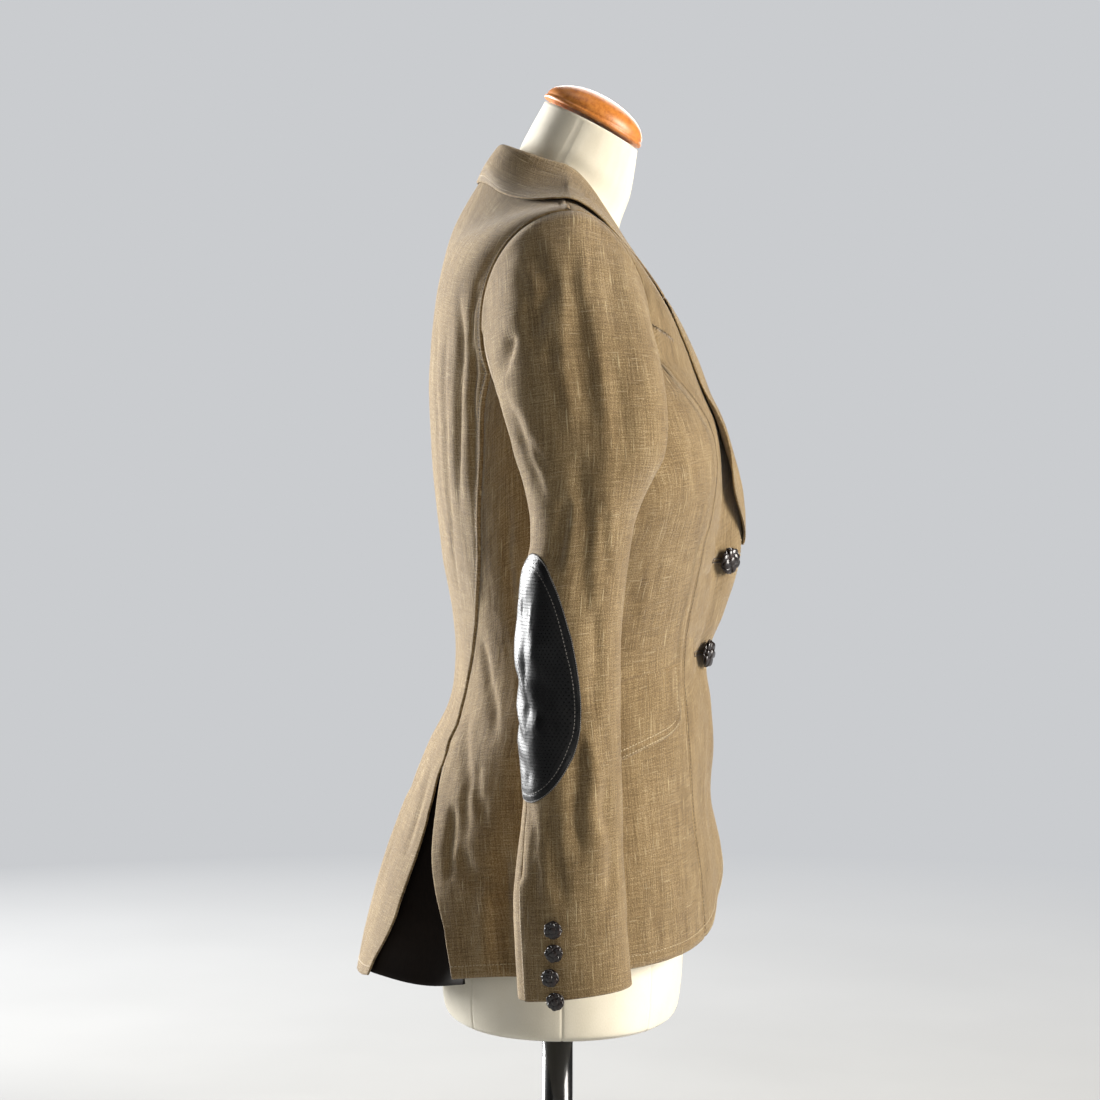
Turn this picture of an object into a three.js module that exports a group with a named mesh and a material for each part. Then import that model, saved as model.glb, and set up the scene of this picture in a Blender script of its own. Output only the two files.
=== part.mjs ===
// A woman's single-breasted blazer in tan linen, buttoned on a limbless dress form with a wooden neck
// cap, a pole and a round base.
// Millimetres, +Z up, +X to the wearer's left, the front towards -Y. The origin is on the floor,
// at the foot of the pole's axis. Heights in the tables are measured from the underside of the dress form.
//
// The torso is one closed surface, torso(a, s): a runs from the centre front (0) over the side (0.5) to the
// centre back (1), and s is a fractional row of the BODY table. Every panel is a stretch of that surface between
// two seams, given a thickness. The tables describe the side where x is positive; the other side is mirrored.
import * as THREE from "three";

// Driving dimensions.
const CLOTH = 2.2; // wall of the linen with its interfacing
const LEATHER = 1.2; // wall of an elbow patch
const GAP = 0.35; // space between two pieces
const COLLAR_GAP = 0.47; // space between the panels and the turned cloth of lapel and collar
const OVERLAY = 0.8; // space under a piece that lies on another
const FORM_FOOT = 170; // underside of the dress form above the floor
const FORM_EASE = 9; // from the jacket's outer face to the dress form
const BASE = { radius: 150, height: 12, bevel: 3 };
const POLE = { radius: 12, flangeRadius: 32, flangeHeight: 10 };
const CAP = { radius: 42, rim: 3, dome: 19, y: -26.5, z: 687, lean: 0.49 };
const RIGHT = -1;
const LEFT = 1;

const CLOTH_FINISH = { color: 0xa58a5f, roughness: 0.92, metalness: 0 };
const LINING_FINISH = { color: 0x4a3826, roughness: 0.8, metalness: 0 };
const LEATHER_FINISH = { color: 0x171312, roughness: 0.38, metalness: 0 };
const BUTTON_FINISH = { color: 0x24150f, roughness: 0.3, metalness: 0 };
const FORM_FINISH = { color: 0xe6dcc4, roughness: 0.85, metalness: 0 };
const WOOD_FINISH = { color: 0xb86a24, roughness: 0.3, metalness: 0 };
const STEEL_FINISH = { color: 0x121214, roughness: 0.25, metalness: 0.6 };

// ---------------------------------------------------------------- tables

/** Rows with named columns; an empty cell is null. */
function table(columns, ...rows) {
  const names = columns.split(" ");
  return rows.map((row) => Object.fromEntries(names.map((name, i) => [name, row[i]])));
}

/** A column's value at a fractional row, on a smooth curve through the rows. */
function smooth(rows, column, at) {
  const last = rows.length - 1;
  const clamped = Math.min(Math.max(at, 0), last);
  const i = Math.min(Math.floor(clamped), last - 1);
  const f = clamped - i;
  const value = (k) => rows[Math.min(Math.max(k, 0), last)][column];
  const [before, from, to, after] = [value(i - 1), value(i), value(i + 1), value(i + 2)];
  const slope = (to - before) / 2;
  const nextSlope = (after - from) / 2;
  const bend = 3 * (to - from) - 2 * slope - nextSlope;
  const twist = 2 * (from - to) + slope + nextSlope;
  return from + f * (slope + f * (bend + f * twist));
}

/** A column's value where a rising key column has the given value. */
function lookup(rows, keyColumn, key, column) {
  let i = 0;
  while (i < rows.length - 2 && key > rows[i + 1][keyColumn]) i++;
  const low = rows[i][keyColumn];
  const high = rows[i + 1][keyColumn];
  return smooth(rows, column, i + Math.min(Math.max((key - low) / (high - low), 0), 1));
}

// Sections of the jacket's outer surface: heights at the side, centre front and centre back, half width, reach to
// the front and back, y of the side, fullness between the axes, and how far the closing edge stands forward.
const BODY = table(
  "zSide zFront zBack half front back mid boxFront boxBack prow bow",
  [10, 10, 10, 173, 128, 160, -4, 0.06, 0.1, 2, 1.6],
  [60, 60, 60, 171, 126, 151, -4, 0.06, 0.1, 3, 1.6],
  [112, 112, 112, 168, 124, 137, -4, 0.06, 0.08, 6, 1.6],
  [165, 165, 165, 162, 117, 118, -4, 0.06, 0.06, 3, 1.6],
  [205, 205, 205, 153, 118, 101, -4, 0.06, 0.04, 4, 1.6],
  [238, 238, 238, 144, 116, 84.5, -4, 0.06, 0.04, 4, 1.6],
  [272, 272, 272, 137, 111, 79.5, -4, 0.06, 0.05, 6, 1.6],
  [308, 308, 308, 139, 116, 81.5, -4, 0.08, 0.08, 14, 1.6],
  [350, 350, 350, 147, 123, 89, -4, 0.12, 0.12, 19, 1.6],
  [400, 400, 400, 156, 127, 95, -4, 0.18, 0.16, 15, 1.6],
  [448, 448, 448, 160, 125, 98.5, -5, 0.18, 0.18, 7, 1.6],
  [500, 478, 490, 164, 114, 99.5, -7, 0.14, 0.18, 3, 1.6],
  [560, 505, 530, 172, 103.5, 96.5, -9, 0.1, 0.16, 0, 1.6],
  [607, 529, 566, 190, 90, 91, -9, 0.04, 0.1, 0, 1.6],
  [618, 560, 606, 119, 69, 80, -6, 0.02, 0.04, 0, 1.6],
  [642, 589, 645, 63, 48, 58, -3, 0, 0, 0, 1.6],
);
const NECK_RING = BODY.length - 1;
const ARMPIT_RING = 10;
const PROW_HALF_WIDTH = 36;

// The dress form's own sections where they aren't the jacket's, drawn in: its lower end and its neck.
const FORM_LOWER = table(
  "zSide zFront zBack half front back mid boxFront boxBack prow bow",
  [0, 0, 0, 150, 86, 78, -3, 0.1, 0.1, 0, 1],
  [2.5, 2.5, 2.5, 158, 92, 85, -3, 0.1, 0.1, 0, 1],
  [9, 9, 9, 162, 95, 89, -3, 0.1, 0.1, 0, 1],
  [40, 40, 40, 160, 98, 90, -3, 0.1, 0.1, 0, 1],
  [120, 120, 120, 152, 101, 87, -3, 0.08, 0.08, 0, 1],
  [200, 200, 200, 140, 101, 80, -4, 0.06, 0.06, 0, 1],
);
const FORM_NECK = table(
  "zSide zFront zBack half front back mid boxFront boxBack prow bow",
  [640, 598, 641, 52, 47, 41, -4, 0, 0, 0, 1.3],
  [662, 632, 672, 45.5, 56.5, 27, -15, 0, 0, 0, 1],
  [684, 665, 703, 41.5, 62, 10, -26, 0, 0, 0, 1],
);

// Seams and edges in the side view, upwards.
const PRINCESS_SEAM = table(
  "z y",
  [60, -112], [115, -108], [162, -102], [230, -97.5], [273, -95], [305, -98], [341, -105.7],
  [360, -109], [387, -116], [423, -121], [447, -117], [470, -104], [494, -84], [508, -70],
);
const SIDE_SEAM_Y = 8;
const BACK_SEAM = table(
  "z y",
  [212, 82.5], [228, 75.6], [252, 69.5], [282, 64], [321, 60], [351, 58], [396, 57.6], [433, 55.5], [470, 54],
  [500, 47], [515, 38],
);
const TAIL_EDGE = table(
  "z y",
  [20, 147], [38, 144], [77, 126], [102, 117], [137, 105], [168, 96.5], [190, 90.5], [212, 82.5],
);
const SIDE_PANEL_EDGE = table(
  "z y",
  [20, 76], [35, 77], [83, 84], [113, 92], [136, 94], [168, 91.5], [190, 88], [212, 82.5],
);
const PLEAT_TOP = 212;
const HEM = table(
  "a z",
  [-0.03, 132], [0, 112], [0.04, 93], [0.08, 80], [0.14, 69], [0.22, 62], [0.34, 57], [0.5, 53], [0.6, 51],
  [0.7, 45], [0.76, 41], [0.84, 38], [0.92, 32], [1, 29],
);
const ARMHOLE = {
  y: -12, z: 528, halfHeight: 81, back: { half: 67, squareness: 2.1 }, front: { half: 54, squareness: 1.75 },
};

// The closing edges below the lapels and the fold lines of the lapels above them: x from the centre front,
// counted towards the front's own side. The right front laps over the left one.
const FRONT_EDGE = {
  [RIGHT]: table(
    "z x",
    [40, -5], [300, -5], [352, -5], [368, -2.5], [386, 2], [410, 9], [441, 19], [476, 30],
    [516, 42], [555, 53], [590, 60], [616, 62.6], [650, 62.6],
  ),
  [LEFT]: table(
    "z x",
    [40, -22], [320, -22], [352, -20], [368, -13], [386, -2], [410, 9], [441, 19], [476, 30],
    [516, 42], [555, 53], [590, 60], [616, 62.6], [650, 62.6],
  ),
};

// The turned cloth of lapel and collar, from the lapel's foot to the centre back: where it leaves the front (z) or
// the neckline (a), its outer edge in the front view (x, z) or from above (x, y), the stand's height, the inner
// width of the fold, how far the edge stands off the chest, and the lean of the stand back from the surface.
const TURN = table(
  "z a edgeX edgeY edgeZ stand fold spring lean",
  [360, null, 2, null, 364, 0.5, 1, 1, 0],
  [370, null, 13, null, 379, 0.5, 1, 6, 0],
  [388, null, 27, null, 400, 0.5, 1, 11, 0],
  [412, null, 43, null, 427, 0.5, 1, 10, 0],
  [443, null, 59, null, 460, 0.5, 1.2, 4, 0],
  [478, null, 73, null, 490, 0.5, 1.6, 0, 0],
  [516, null, 88, null, 518, 0.5, 1.8, 0, 0],
  [552, null, 101, null, 543, 0.5, 2.2, 0, 0],
  [584, null, 108, -51, null, 0.6, 2.6, 0.4, 0],
  [608, null, 111, -30, null, 1.2, 3.4, 2, 0],
  [null, 0.475, 117, -7, null, 3.2, 4.4, 3.2, 0.3],
  [null, 0.61, 107, 17, null, 10.5, 5, 1, 0.6],
  [null, 0.76, 78, 38.5, null, 17.5, 5.4, 0.5, 0.4],
  [null, 0.89, 37, 54, null, 21.5, 6, 0.2, -0.1],
  [null, 1, 0, 61, null, 22, 6, 0, -0.39],
  [null, 1.11, -37, 54, null, 21.5, 6, 0.2, -0.1],
);
const GORGE = 7; // row of TURN where lapel and collar are sewn together
const GORGE_GAP = 0.006; // half the gap there, in rows
const NECKLINE = 10; // row of TURN where the neckline leaves the front
const COLLAR_MIDDLE = 14;
const LAPEL_FOOT = { [RIGHT]: 0, [LEFT]: 2.6 };
const NOTCH = { at: 0.55, lapelCut: 0.3, collarCut: 0.75 };

// The hanging sleeve: rings upwards, with reach to the front and back, inner and outer side, and tilt of the ring.
const SLEEVE = table(
  "z yFront yBack xInner xOuter tilt",
  [50.5, -53, 29, 181, 247, -0.12],
  [85, -50, 31, 179, 248, -0.06],
  [118, -48.5, 32, 177, 248, 0],
  [150, -46.8, 29, 175, 247, 0],
  [190, -46, 25, 171, 245, 0],
  [228, -45, 28, 167, 243, 0],
  [262, -45, 30, 164, 242, 0],
  [300, -45.5, 30.5, 161, 241, 0],
  [342, -49, 27, 161, 240, 0],
  [366, -52, 21, 161, 240, 0],
  [388, -56, 20.5, 162, 240.5, 0],
  [408, -63.5, 24, 163.5, 241, 0],
  [426, -73, 29.5, 165, 241, 0],
);
const SLEEVE_TOP = SLEEVE.length - 1;
const SLEEVE_FULLNESS = 2.25;
const CAP_REACH = { ring: 0.82, armhole: 0.62, lift: 0.16, crownLift: 0.55 };
const SLEEVE_FRONT_SEAM = 0.19;
const SLEEVE_BACK_SEAM = table("q v", [0, 0.66], [2, 0.665], [4, 0.7], [6, 0.735], [9, 0.75], [14, 0.76]);

// Creases of a sleeve's outer side in the side view; a positive depth is a trough.
const SLEEVE_CREASES = table(
  "y1 z1 y2 z2 width depth",
  [-12, 588, -19, 494, 10, 4], [-19, 494, -24, 447, 8, 2.5], [-14, 441, -20, 386, 8, 3],
  [-20, 386, -21, 311, 8, 1.5], [17, 588, 9, 552, 9, 3], [15, 528, 12, 502, 8, 2],
  [32, 518, 42, 490, 7, 3], [-4, 406, 1, 357, 7, 2], [-38, 556, -40, 530, 12, 2.5],
  [-16, 237, -14, 156, 8, 2.5], [-19, 247, -28, 168, 9, -2], [-33, 204, -40, 156, 8, 2],
);

const PATCH = { v: 0.672, z: 258, up: 106, down: 71, halfWidth: 46 };
const FLAP = {
  frontY: -91, backY: -4, frontTop: 275.5, backTop: 257, frontDrop: 50, backDrop: 66, corner: 12,
};
const FRONT_BUTTONS = table("x z", [22, 349], [24, 277.5]);
const BUTTON_STANDOFF = 1.2; // from the cloth to the foot of a button
const FRONT_BUTTON = { radius: 12, height: 8 };
const CUFF_BUTTONS = table("y z", [3.2, 100], [2.5, 84], [5, 67], [1.5, 50]);
const CUFF_BUTTON = { radius: 7.4, height: 6.5 };
const PLEAT = { bottom: 44, drop: 7, sag: 4, top: 203, overlap: 9, depth: 26, wall: 1.6 };

// ---------------------------------------------------------------- the torso surface

/** A point of a body made of sections, on the side where x is positive. */
function sectionPoint(rows, a, s, inset = 0) {
  const r = (column) => smooth(rows, column, s);
  const cos = Math.cos(Math.PI * a);
  const sin = Math.sin(Math.PI * a);
  const isFront = cos > 0;
  const [mid, zSide] = [r("mid"), r("zSide")];
  const x = (r("half") - inset) * sin * (1 + r(isFront ? "boxFront" : "boxBack") * cos * cos);
  const reach = (isFront ? r("front") + mid : r("back") - mid) - inset;
  const share = isFront && Math.abs(x) < PROW_HALF_WIDTH ? (1 - (x / PROW_HALF_WIDTH) ** 2) ** 2 : 0;
  const y = mid - reach * cos * (1 + r(isFront ? "boxFront" : "boxBack") * sin * sin) - r("prow") * share;
  const rise = r(isFront ? "zFront" : "zBack") - zSide;
  return new THREE.Vector3(x, y, zSide + rise * Math.abs(cos) ** r("bow"));
}

const torso = (a, s) => sectionPoint(BODY, a, s);

/** The unit vector across a surface at (u, v); the torso's points outwards. */
function normalOf(surface, u, v, step = 2e-3) {
  const alongU = surface(u + step, v).sub(surface(u - step, v));
  const alongV = surface(u, v + step).sub(surface(u, v - step));
  return alongU.cross(alongV).normalize();
}

const torsoNormal = (a, s) => normalOf(torso, a, Math.min(s, NECK_RING - 0.01));
const torsoAt = (a, s, lift = 0) => torso(a, s).addScaledVector(torsoNormal(a, s), lift);

/** Where a rising function of one value crosses zero. */
function solve(rising, low, high) {
  for (let i = 0; i < 26; i++) {
    const middle = (low + high) / 2;
    if (rising(middle) > 0) high = middle;
    else low = middle;
  }
  return (low + high) / 2;
}

/** A function of s kept as samples, so that it is worked out only once. */
function sampled(fn, step = 0.1) {
  const first = -0.5;
  const samples = [];
  for (let s = first; s < NECK_RING + step; s += step) samples.push(fn(s));
  return (s) => {
    const at = Math.min(Math.max((s - first) / step, 0), samples.length - 1.001);
    const i = Math.floor(at);
    return samples[i] + (samples[i + 1] - samples[i]) * (at - i);
  };
}

/** The torso's (a, s) where two of a point's coordinates are given, by Newton's method. */
function torsoWhere(wanted, guess) {
  const keys = Object.keys(wanted).filter((key) => wanted[key] !== null);
  const error = (a, s) => {
    const p = torso(a, s);
    return keys.map((key) => p[key] - wanted[key]);
  };
  let [a, s] = guess;
  const step = 1e-3;
  for (let i = 0; i < 40; i++) {
    const here = error(a, s);
    const byA = error(a + step, s).map((value, k) => (value - here[k]) / step);
    const byS = error(a, s + step).map((value, k) => (value - here[k]) / step);
    const det = byA[0] * byS[1] - byA[1] * byS[0];
    const moveA = (here[0] * byS[1] - here[1] * byS[0]) / det;
    const moveS = (here[1] * byA[0] - here[0] * byA[1]) / det;
    const ease = Math.min(1, 0.08 / (Math.abs(moveA) + 1e-9), 0.8 / (Math.abs(moveS) + 1e-9));
    a = Math.min(Math.max(a - moveA * ease, -0.3), 1.3);
    s = Math.min(Math.max(s - moveS * ease, -0.5), NECK_RING);
  }
  return [a, s];
}

const seamA = (seam) =>
  sampled((s) => solve((a) => torso(a, s).y - lookup(seam, "z", torso(a, s).z, "y"), 0.02, 0.98));
const frontEdgeA = Object.fromEntries(
  [RIGHT, LEFT].map((side) => [
    side,
    sampled((s) => {
      const beyond = (p) => p.x - lookup(FRONT_EDGE[side], "z", p.z, "x");
      return solve((a) => beyond(torso(a, s)), -0.2, 0.5);
    }),
  ]),
);
const princessA = seamA(PRINCESS_SEAM);
const sideSeamA = sampled((s) => solve((a) => torso(a, s).y - SIDE_SEAM_Y, 0.3, 0.7));
const hemS = (a) => solve((s) => torso(a, s).z - lookup(HEM, "a", a, "z"), -0.5, 5);

/** The back seam above the pleat, then the tail's or the side panel's own edge below it. */
function backSeamA(lowerEdge) {
  const above = seamA(BACK_SEAM);
  const below = seamA(lowerEdge);
  return (s) => (torso(above(s), s).z > PLEAT_TOP ? above(s) : below(s));
}
const tailEdgeA = backSeamA(TAIL_EDGE);
const sidePanelEdgeA = backSeamA(SIDE_PANEL_EDGE);

/** Negative inside the armhole, in the side view. */
function armholeValue(p) {
  const { half, squareness: n } = p.y > ARMHOLE.y ? ARMHOLE.back : ARMHOLE.front;
  const across = Math.abs(p.y - ARMHOLE.y) / half;
  const up = Math.abs(p.z - ARMHOLE.z) / ARMHOLE.halfHeight;
  return across ** n + up ** n - 1;
}

const shoulderTipS = solve((s) => armholeValue(torso(0.5, s)), ARMPIT_RING + 2, NECK_RING);

/** The torso's (a, s) on the armhole; v is 0 under the arm, then 0.25 in front, 0.5 on the shoulder. */
function armholeWhere(v, inset = 0) {
  const [cos, sin] = [Math.cos(2 * Math.PI * v), Math.sin(2 * Math.PI * v)];
  const { half, squareness } = sin > 0 ? ARMHOLE.front : ARMHOLE.back;
  const power = 2 / squareness;
  const y = ARMHOLE.y - (half - inset) * Math.sign(sin) * Math.abs(sin) ** power;
  const z = ARMHOLE.z - (ARMHOLE.halfHeight - inset) * Math.sign(cos) * Math.abs(cos) ** power;
  return torsoWhere({ y, z }, [0.5 - 0.18 * sin, 12 - 1.5 * cos]);
}

/** The armhole's v at a point on it. */
function armholeV(p) {
  const { half, squareness } = p.y > ARMHOLE.y ? ARMHOLE.back : ARMHOLE.front;
  const along = (reach, most) => Math.sign(reach) * (Math.abs(reach) / most) ** (squareness / 2);
  const forward = along(ARMHOLE.y - p.y, half);
  const down = along(ARMHOLE.z - p.z, ARMHOLE.halfHeight);
  return (Math.atan2(forward, down) / (2 * Math.PI) + 1) % 1;
}

/** The row where a seam running up the torso meets the armhole. */
const armholeS = (aAt) => solve((s) => -armholeValue(torso(aAt(s), s)), 6, ARMPIT_RING + 1.8);

// ---------------------------------------------------------------- closed meshes

const spread = (count) => Array.from({ length: count + 1 }, (_, i) => i / count);
const mix = (from, to, share) => from + (to - from) * share;

/** Mirrors and lifts a point from the tables' frame to the part's. */
const placed = (p, side) => new THREE.Vector3(side * p.x, p.y, p.z + FORM_FOOT);
const placedGrid = (grid, side) => grid.map((line) => line.map((p) => placed(p, side)));

/** A closed mesh from positions and triangles, with its faces turned outwards. */
function closedGeometry(positions, index) {
  const corner = (k) => new THREE.Vector3().fromArray(positions, 3 * index[k]);
  let volume = 0;
  for (let k = 0; k < index.length; k += 3)
    volume += corner(k).dot(corner(k + 1).cross(corner(k + 2)));
  if (volume < 0)
    for (let k = 0; k < index.length; k += 3) [index[k + 1], index[k + 2]] = [index[k + 2], index[k + 1]];
  const geometry = new THREE.BufferGeometry();
  geometry.setAttribute("position", new THREE.Float32BufferAttribute(positions, 3));
  geometry.setIndex(index);
  geometry.computeVertexNormals();
  return geometry;
}

/** A wall between an outer and an inner grid of points, both [column][row]. */
function wallFromGrids(outer, inner) {
  const columns = outer.length;
  const rows = outer[0].length;
  const positions = [outer, inner].flat(2).flatMap((p) => p.toArray());
  const id = (layer, i, j) => (layer * columns + i) * rows + j;
  const index = [];
  const quad = (a, b, c, d) => index.push(a, b, c, a, c, d);
  for (let i = 0; i < columns - 1; i++)
    for (let j = 0; j < rows - 1; j++) {
      quad(id(0, i, j), id(0, i + 1, j), id(0, i + 1, j + 1), id(0, i, j + 1));
      quad(id(1, i, j), id(1, i, j + 1), id(1, i + 1, j + 1), id(1, i + 1, j));
    }
  for (let i = 0; i < columns - 1; i++) {
    quad(id(0, i, 0), id(1, i, 0), id(1, i + 1, 0), id(0, i + 1, 0));
    quad(id(0, i, rows - 1), id(0, i + 1, rows - 1), id(1, i + 1, rows - 1), id(1, i, rows - 1));
  }
  for (let j = 0; j < rows - 1; j++) {
    quad(id(0, 0, j), id(0, 0, j + 1), id(1, 0, j + 1), id(1, 0, j));
    quad(id(0, columns - 1, j), id(1, columns - 1, j), id(1, columns - 1, j + 1), id(0, columns - 1, j + 1));
  }
  return closedGeometry(positions, index);
}

/** A solid through closed rings of points, its ends closed flat. */
function solidThroughRings(rings) {
  const count = rings[0].length;
  const positions = rings.flat().flatMap((p) => p.toArray());
  const index = [];
  for (let i = 0; i < rings.length - 1; i++)
    for (let j = 0; j < count; j++) {
      const [a, b] = [i * count + j, i * count + ((j + 1) % count)];
      index.push(a, b, b + count, a, b + count, a + count);
    }
  const last = (rings.length - 1) * count;
  for (const [ring, start, flip] of [[rings[0], 0, true], [rings[rings.length - 1], last, false]]) {
    const centre = ring.reduce((sum, p) => sum.add(p), new THREE.Vector3()).divideScalar(count);
    const middle = positions.push(...centre.toArray()) / 3 - 1;
    for (let j = 0; j < count; j++) {
      const [a, b] = [start + j, start + ((j + 1) % count)];
      if (flip) index.push(b, a, middle);
      else index.push(a, b, middle);
    }
  }
  return closedGeometry(positions, index);
}

const blazer = new THREE.Group();
blazer.name = "blazer_on_dress_form";

function addPiece(name, geometry, finish) {
  const mesh = new THREE.Mesh(geometry, new THREE.MeshStandardMaterial(finish));
  mesh.name = name;
  blazer.add(mesh);
  return mesh;
}
const sideName = (side) => (side === RIGHT ? "right" : "left");

// ---------------------------------------------------------------- fronts, sides and back

const PANEL_ROWS = spread(12);
const FRONT_ROWS = { roundArmhole: 9, alongShoulder: 4 };
const BACK_ROWS = { roundArmhole: 7, alongShoulder: 3 };

/**
 * A panel of the torso: rows from the hem up to topS between the seams fromA and toA, then the rows of above, each
 * a pair of (a, s) at its two ends.
 */
function panelGeometry({ side, columns, fromA, toA, topS, above = [], liftAt = () => 0 }) {
  const low = (u, v) => {
    let [a, s] = [0, v * 5];
    for (let pass = 0; pass < 8; pass++) {
      a = mix(fromA(s), toA(s), u);
      s = mix(hemS(a), topS(u), v);
    }
    return [mix(fromA(s), toA(s), u), s];
  };
  const rows = [
    ...PANEL_ROWS.map((v) => (u) => low(u, v)),
    ...above.map(([from, to]) => (u) => [mix(from[0], to[0], u), mix(from[1], to[1], u)]),
  ];
  const grid = (drop) =>
    columns.map((u) =>
      rows.map((row) => {
        const [middleA, s] = row(u);
        const perMillimetre = 2e-3 / torso(middleA + 1e-3, s).distanceTo(torso(middleA - 1e-3, s));
        const inward = u === 0 ? 1 : u === 1 ? -1 : 0;
        const a = middleA + inward * (GAP / 2) * perMillimetre;
        return torsoAt(a, s, liftAt(a, s) - drop);
      }),
    );
  return wallFromGrids(placedGrid(grid(0), side), placedGrid(grid(CLOTH), side));
}

/** The ends of a panel's rows round the armhole to the tip of the shoulder and along its seam to the neck. */
function rowsToNeck(seamTop, innerA, { roundArmhole, alongShoulder }) {
  const [seamTopA, seamTopS] = seamTop;
  const fromV = armholeV(torso(seamTopA, seamTopS));
  const count = roundArmhole + alongShoulder;
  return spread(count).slice(1).map((share, i) => {
    const innerS = mix(seamTopS, NECK_RING, share);
    const inner = [innerA(innerS), innerS];
    const row = i + 1;
    if (row < roundArmhole) return [inner, armholeWhere(mix(fromV, 0.5, row / roundArmhole))];
    return [inner, [0.5, mix(shoulderTipS, NECK_RING, (row - roundArmhole) / alongShoulder)]];
  });
}

const princessTopS = armholeS(princessA);
const backSeamTopS = armholeS(tailEdgeA);
const UNDERLAP = { drop: CLOTH + 2.4, from: 12, to: 38, fadeLow: 385, fadeHigh: 430 };

const smoothstep = (share) => {
  const t = Math.min(Math.max(share, 0), 1);
  return t * t * (3 - 2 * t);
};

/** The left front sinks behind the right one where they lap. */
function underlapLift(side) {
  return (a, s) => {
    if (side === RIGHT) return 0;
    const p = torso(a, s);
    const across = smoothstep((UNDERLAP.to - p.x) / (UNDERLAP.to - UNDERLAP.from));
    const up = smoothstep((UNDERLAP.fadeHigh - p.z) / (UNDERLAP.fadeHigh - UNDERLAP.fadeLow));
    return -UNDERLAP.drop * across * up;
  };
}

function torsoPanels(side) {
  const name = sideName(side);
  const between = (from, to, u) => (s) => mix(from(s), to(s), u);
  const backRows = rowsToNeck([tailEdgeA(backSeamTopS), backSeamTopS], () => 1, BACK_ROWS);
  addPiece(
    `front_${name}`,
    panelGeometry({
      side,
      columns: [0, 0.07, 0.16, 0.27, 0.4, 0.6, 0.8, 1],
      fromA: frontEdgeA[side],
      toA: princessA,
      topS: () => princessTopS,
      above: rowsToNeck([princessA(princessTopS), princessTopS], frontEdgeA[side], FRONT_ROWS),
      liftAt: underlapLift(side),
    }),
    CLOTH_FINISH,
  );
  for (const [piece, fromA, toA] of [
    ["side_front", princessA, sideSeamA],
    ["side_back", sideSeamA, sidePanelEdgeA],
  ])
    addPiece(
      `${piece}_${name}`,
      panelGeometry({
        side,
        columns: spread(5),
        fromA,
        toA,
        topS: (u) => armholeS(between(fromA, toA, u)),
      }),
      CLOTH_FINISH,
    );
  addPiece(
    `back_${name}`,
    panelGeometry({
      side,
      columns: spread(6),
      fromA: tailEdgeA,
      toA: () => 1,
      topS: () => backSeamTopS,
      above: backRows.map(([inner, outer]) => [outer, inner]),
    }),
    CLOTH_FINISH,
  );
}

/** The lining of the inverted pleat that shows between the back's tail and the side panel. */
function pleatGeometry(side) {
  const columns = spread(6);
  const rows = spread(7);
  const point = (u, v, drop) => {
    const bottom = PLEAT.bottom - PLEAT.drop * u - PLEAT.sag * (1 - (2 * u - 1) ** 2);
    const z = mix(PLEAT.top, bottom, v);
    const s = solve((row) => torso(0.75, row).z - z, -0.5, 6);
    const perMillimetre = 2e-3 / torso(0.751, s).distanceTo(torso(0.749, s));
    const overlap = PLEAT.overlap * perMillimetre * smoothstep(v * 2.5);
    const a = mix(sidePanelEdgeA(s) - overlap, tailEdgeA(s) + overlap, u);
    const hollow = PLEAT.depth * smoothstep(v * 1.1) * (1 - (2 * u - 1) ** 2);
    return torsoAt(a, s, -CLOTH - 1.5 * OVERLAY - hollow - drop);
  };
  const grid = (drop) => columns.map((u) => rows.map((v) => point(mix(0.02, 0.98, u), v, drop)));
  return wallFromGrids(placedGrid(grid(0), side), placedGrid(grid(PLEAT.wall), side));
}

// ---------------------------------------------------------------- lapels and collar

/** The (a, s) where the turned cloth leaves the panels, at a fractional row of TURN. */
function turnBase(side, q) {
  if (q >= NECKLINE) return [smooth(TURN.slice(NECKLINE), "a", q - NECKLINE), NECK_RING];
  const s = smooth(turnFrontS[side], "s", q);
  return [frontEdgeA[side](s), s];
}

const turnFrontS = Object.fromEntries(
  [RIGHT, LEFT].map((side) => [
    side,
    TURN.slice(0, NECKLINE + 1).map(({ z }) => ({
      s: z === null ? NECK_RING : solve((s) => torso(frontEdgeA[side](s), s).z - z, 5, NECK_RING),
    })),
  ]),
);
const turnEdges = TURN.map(({ edgeX, edgeY, edgeZ, z, a }, row) => {
  const isMiddle = edgeX === 0;
  const guess = z === null ? [Math.min(a, 0.97), 14.4] : [0.15, turnFrontS[RIGHT][Math.min(row, NECKLINE)].s];
  if (isMiddle) return { a: 1, s: solve((s) => edgeY - torso(1, s).y, 12, NECK_RING) };
  const mirrored = edgeX < 0;
  const wanted = { x: Math.abs(edgeX), y: edgeY, z: edgeZ };
  const [edgeA, edgeS] = torsoWhere(wanted, mirrored ? [2 - a, 14.4] : guess);
  return { a: mirrored ? 2 - edgeA : edgeA, s: edgeS };
});

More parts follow.
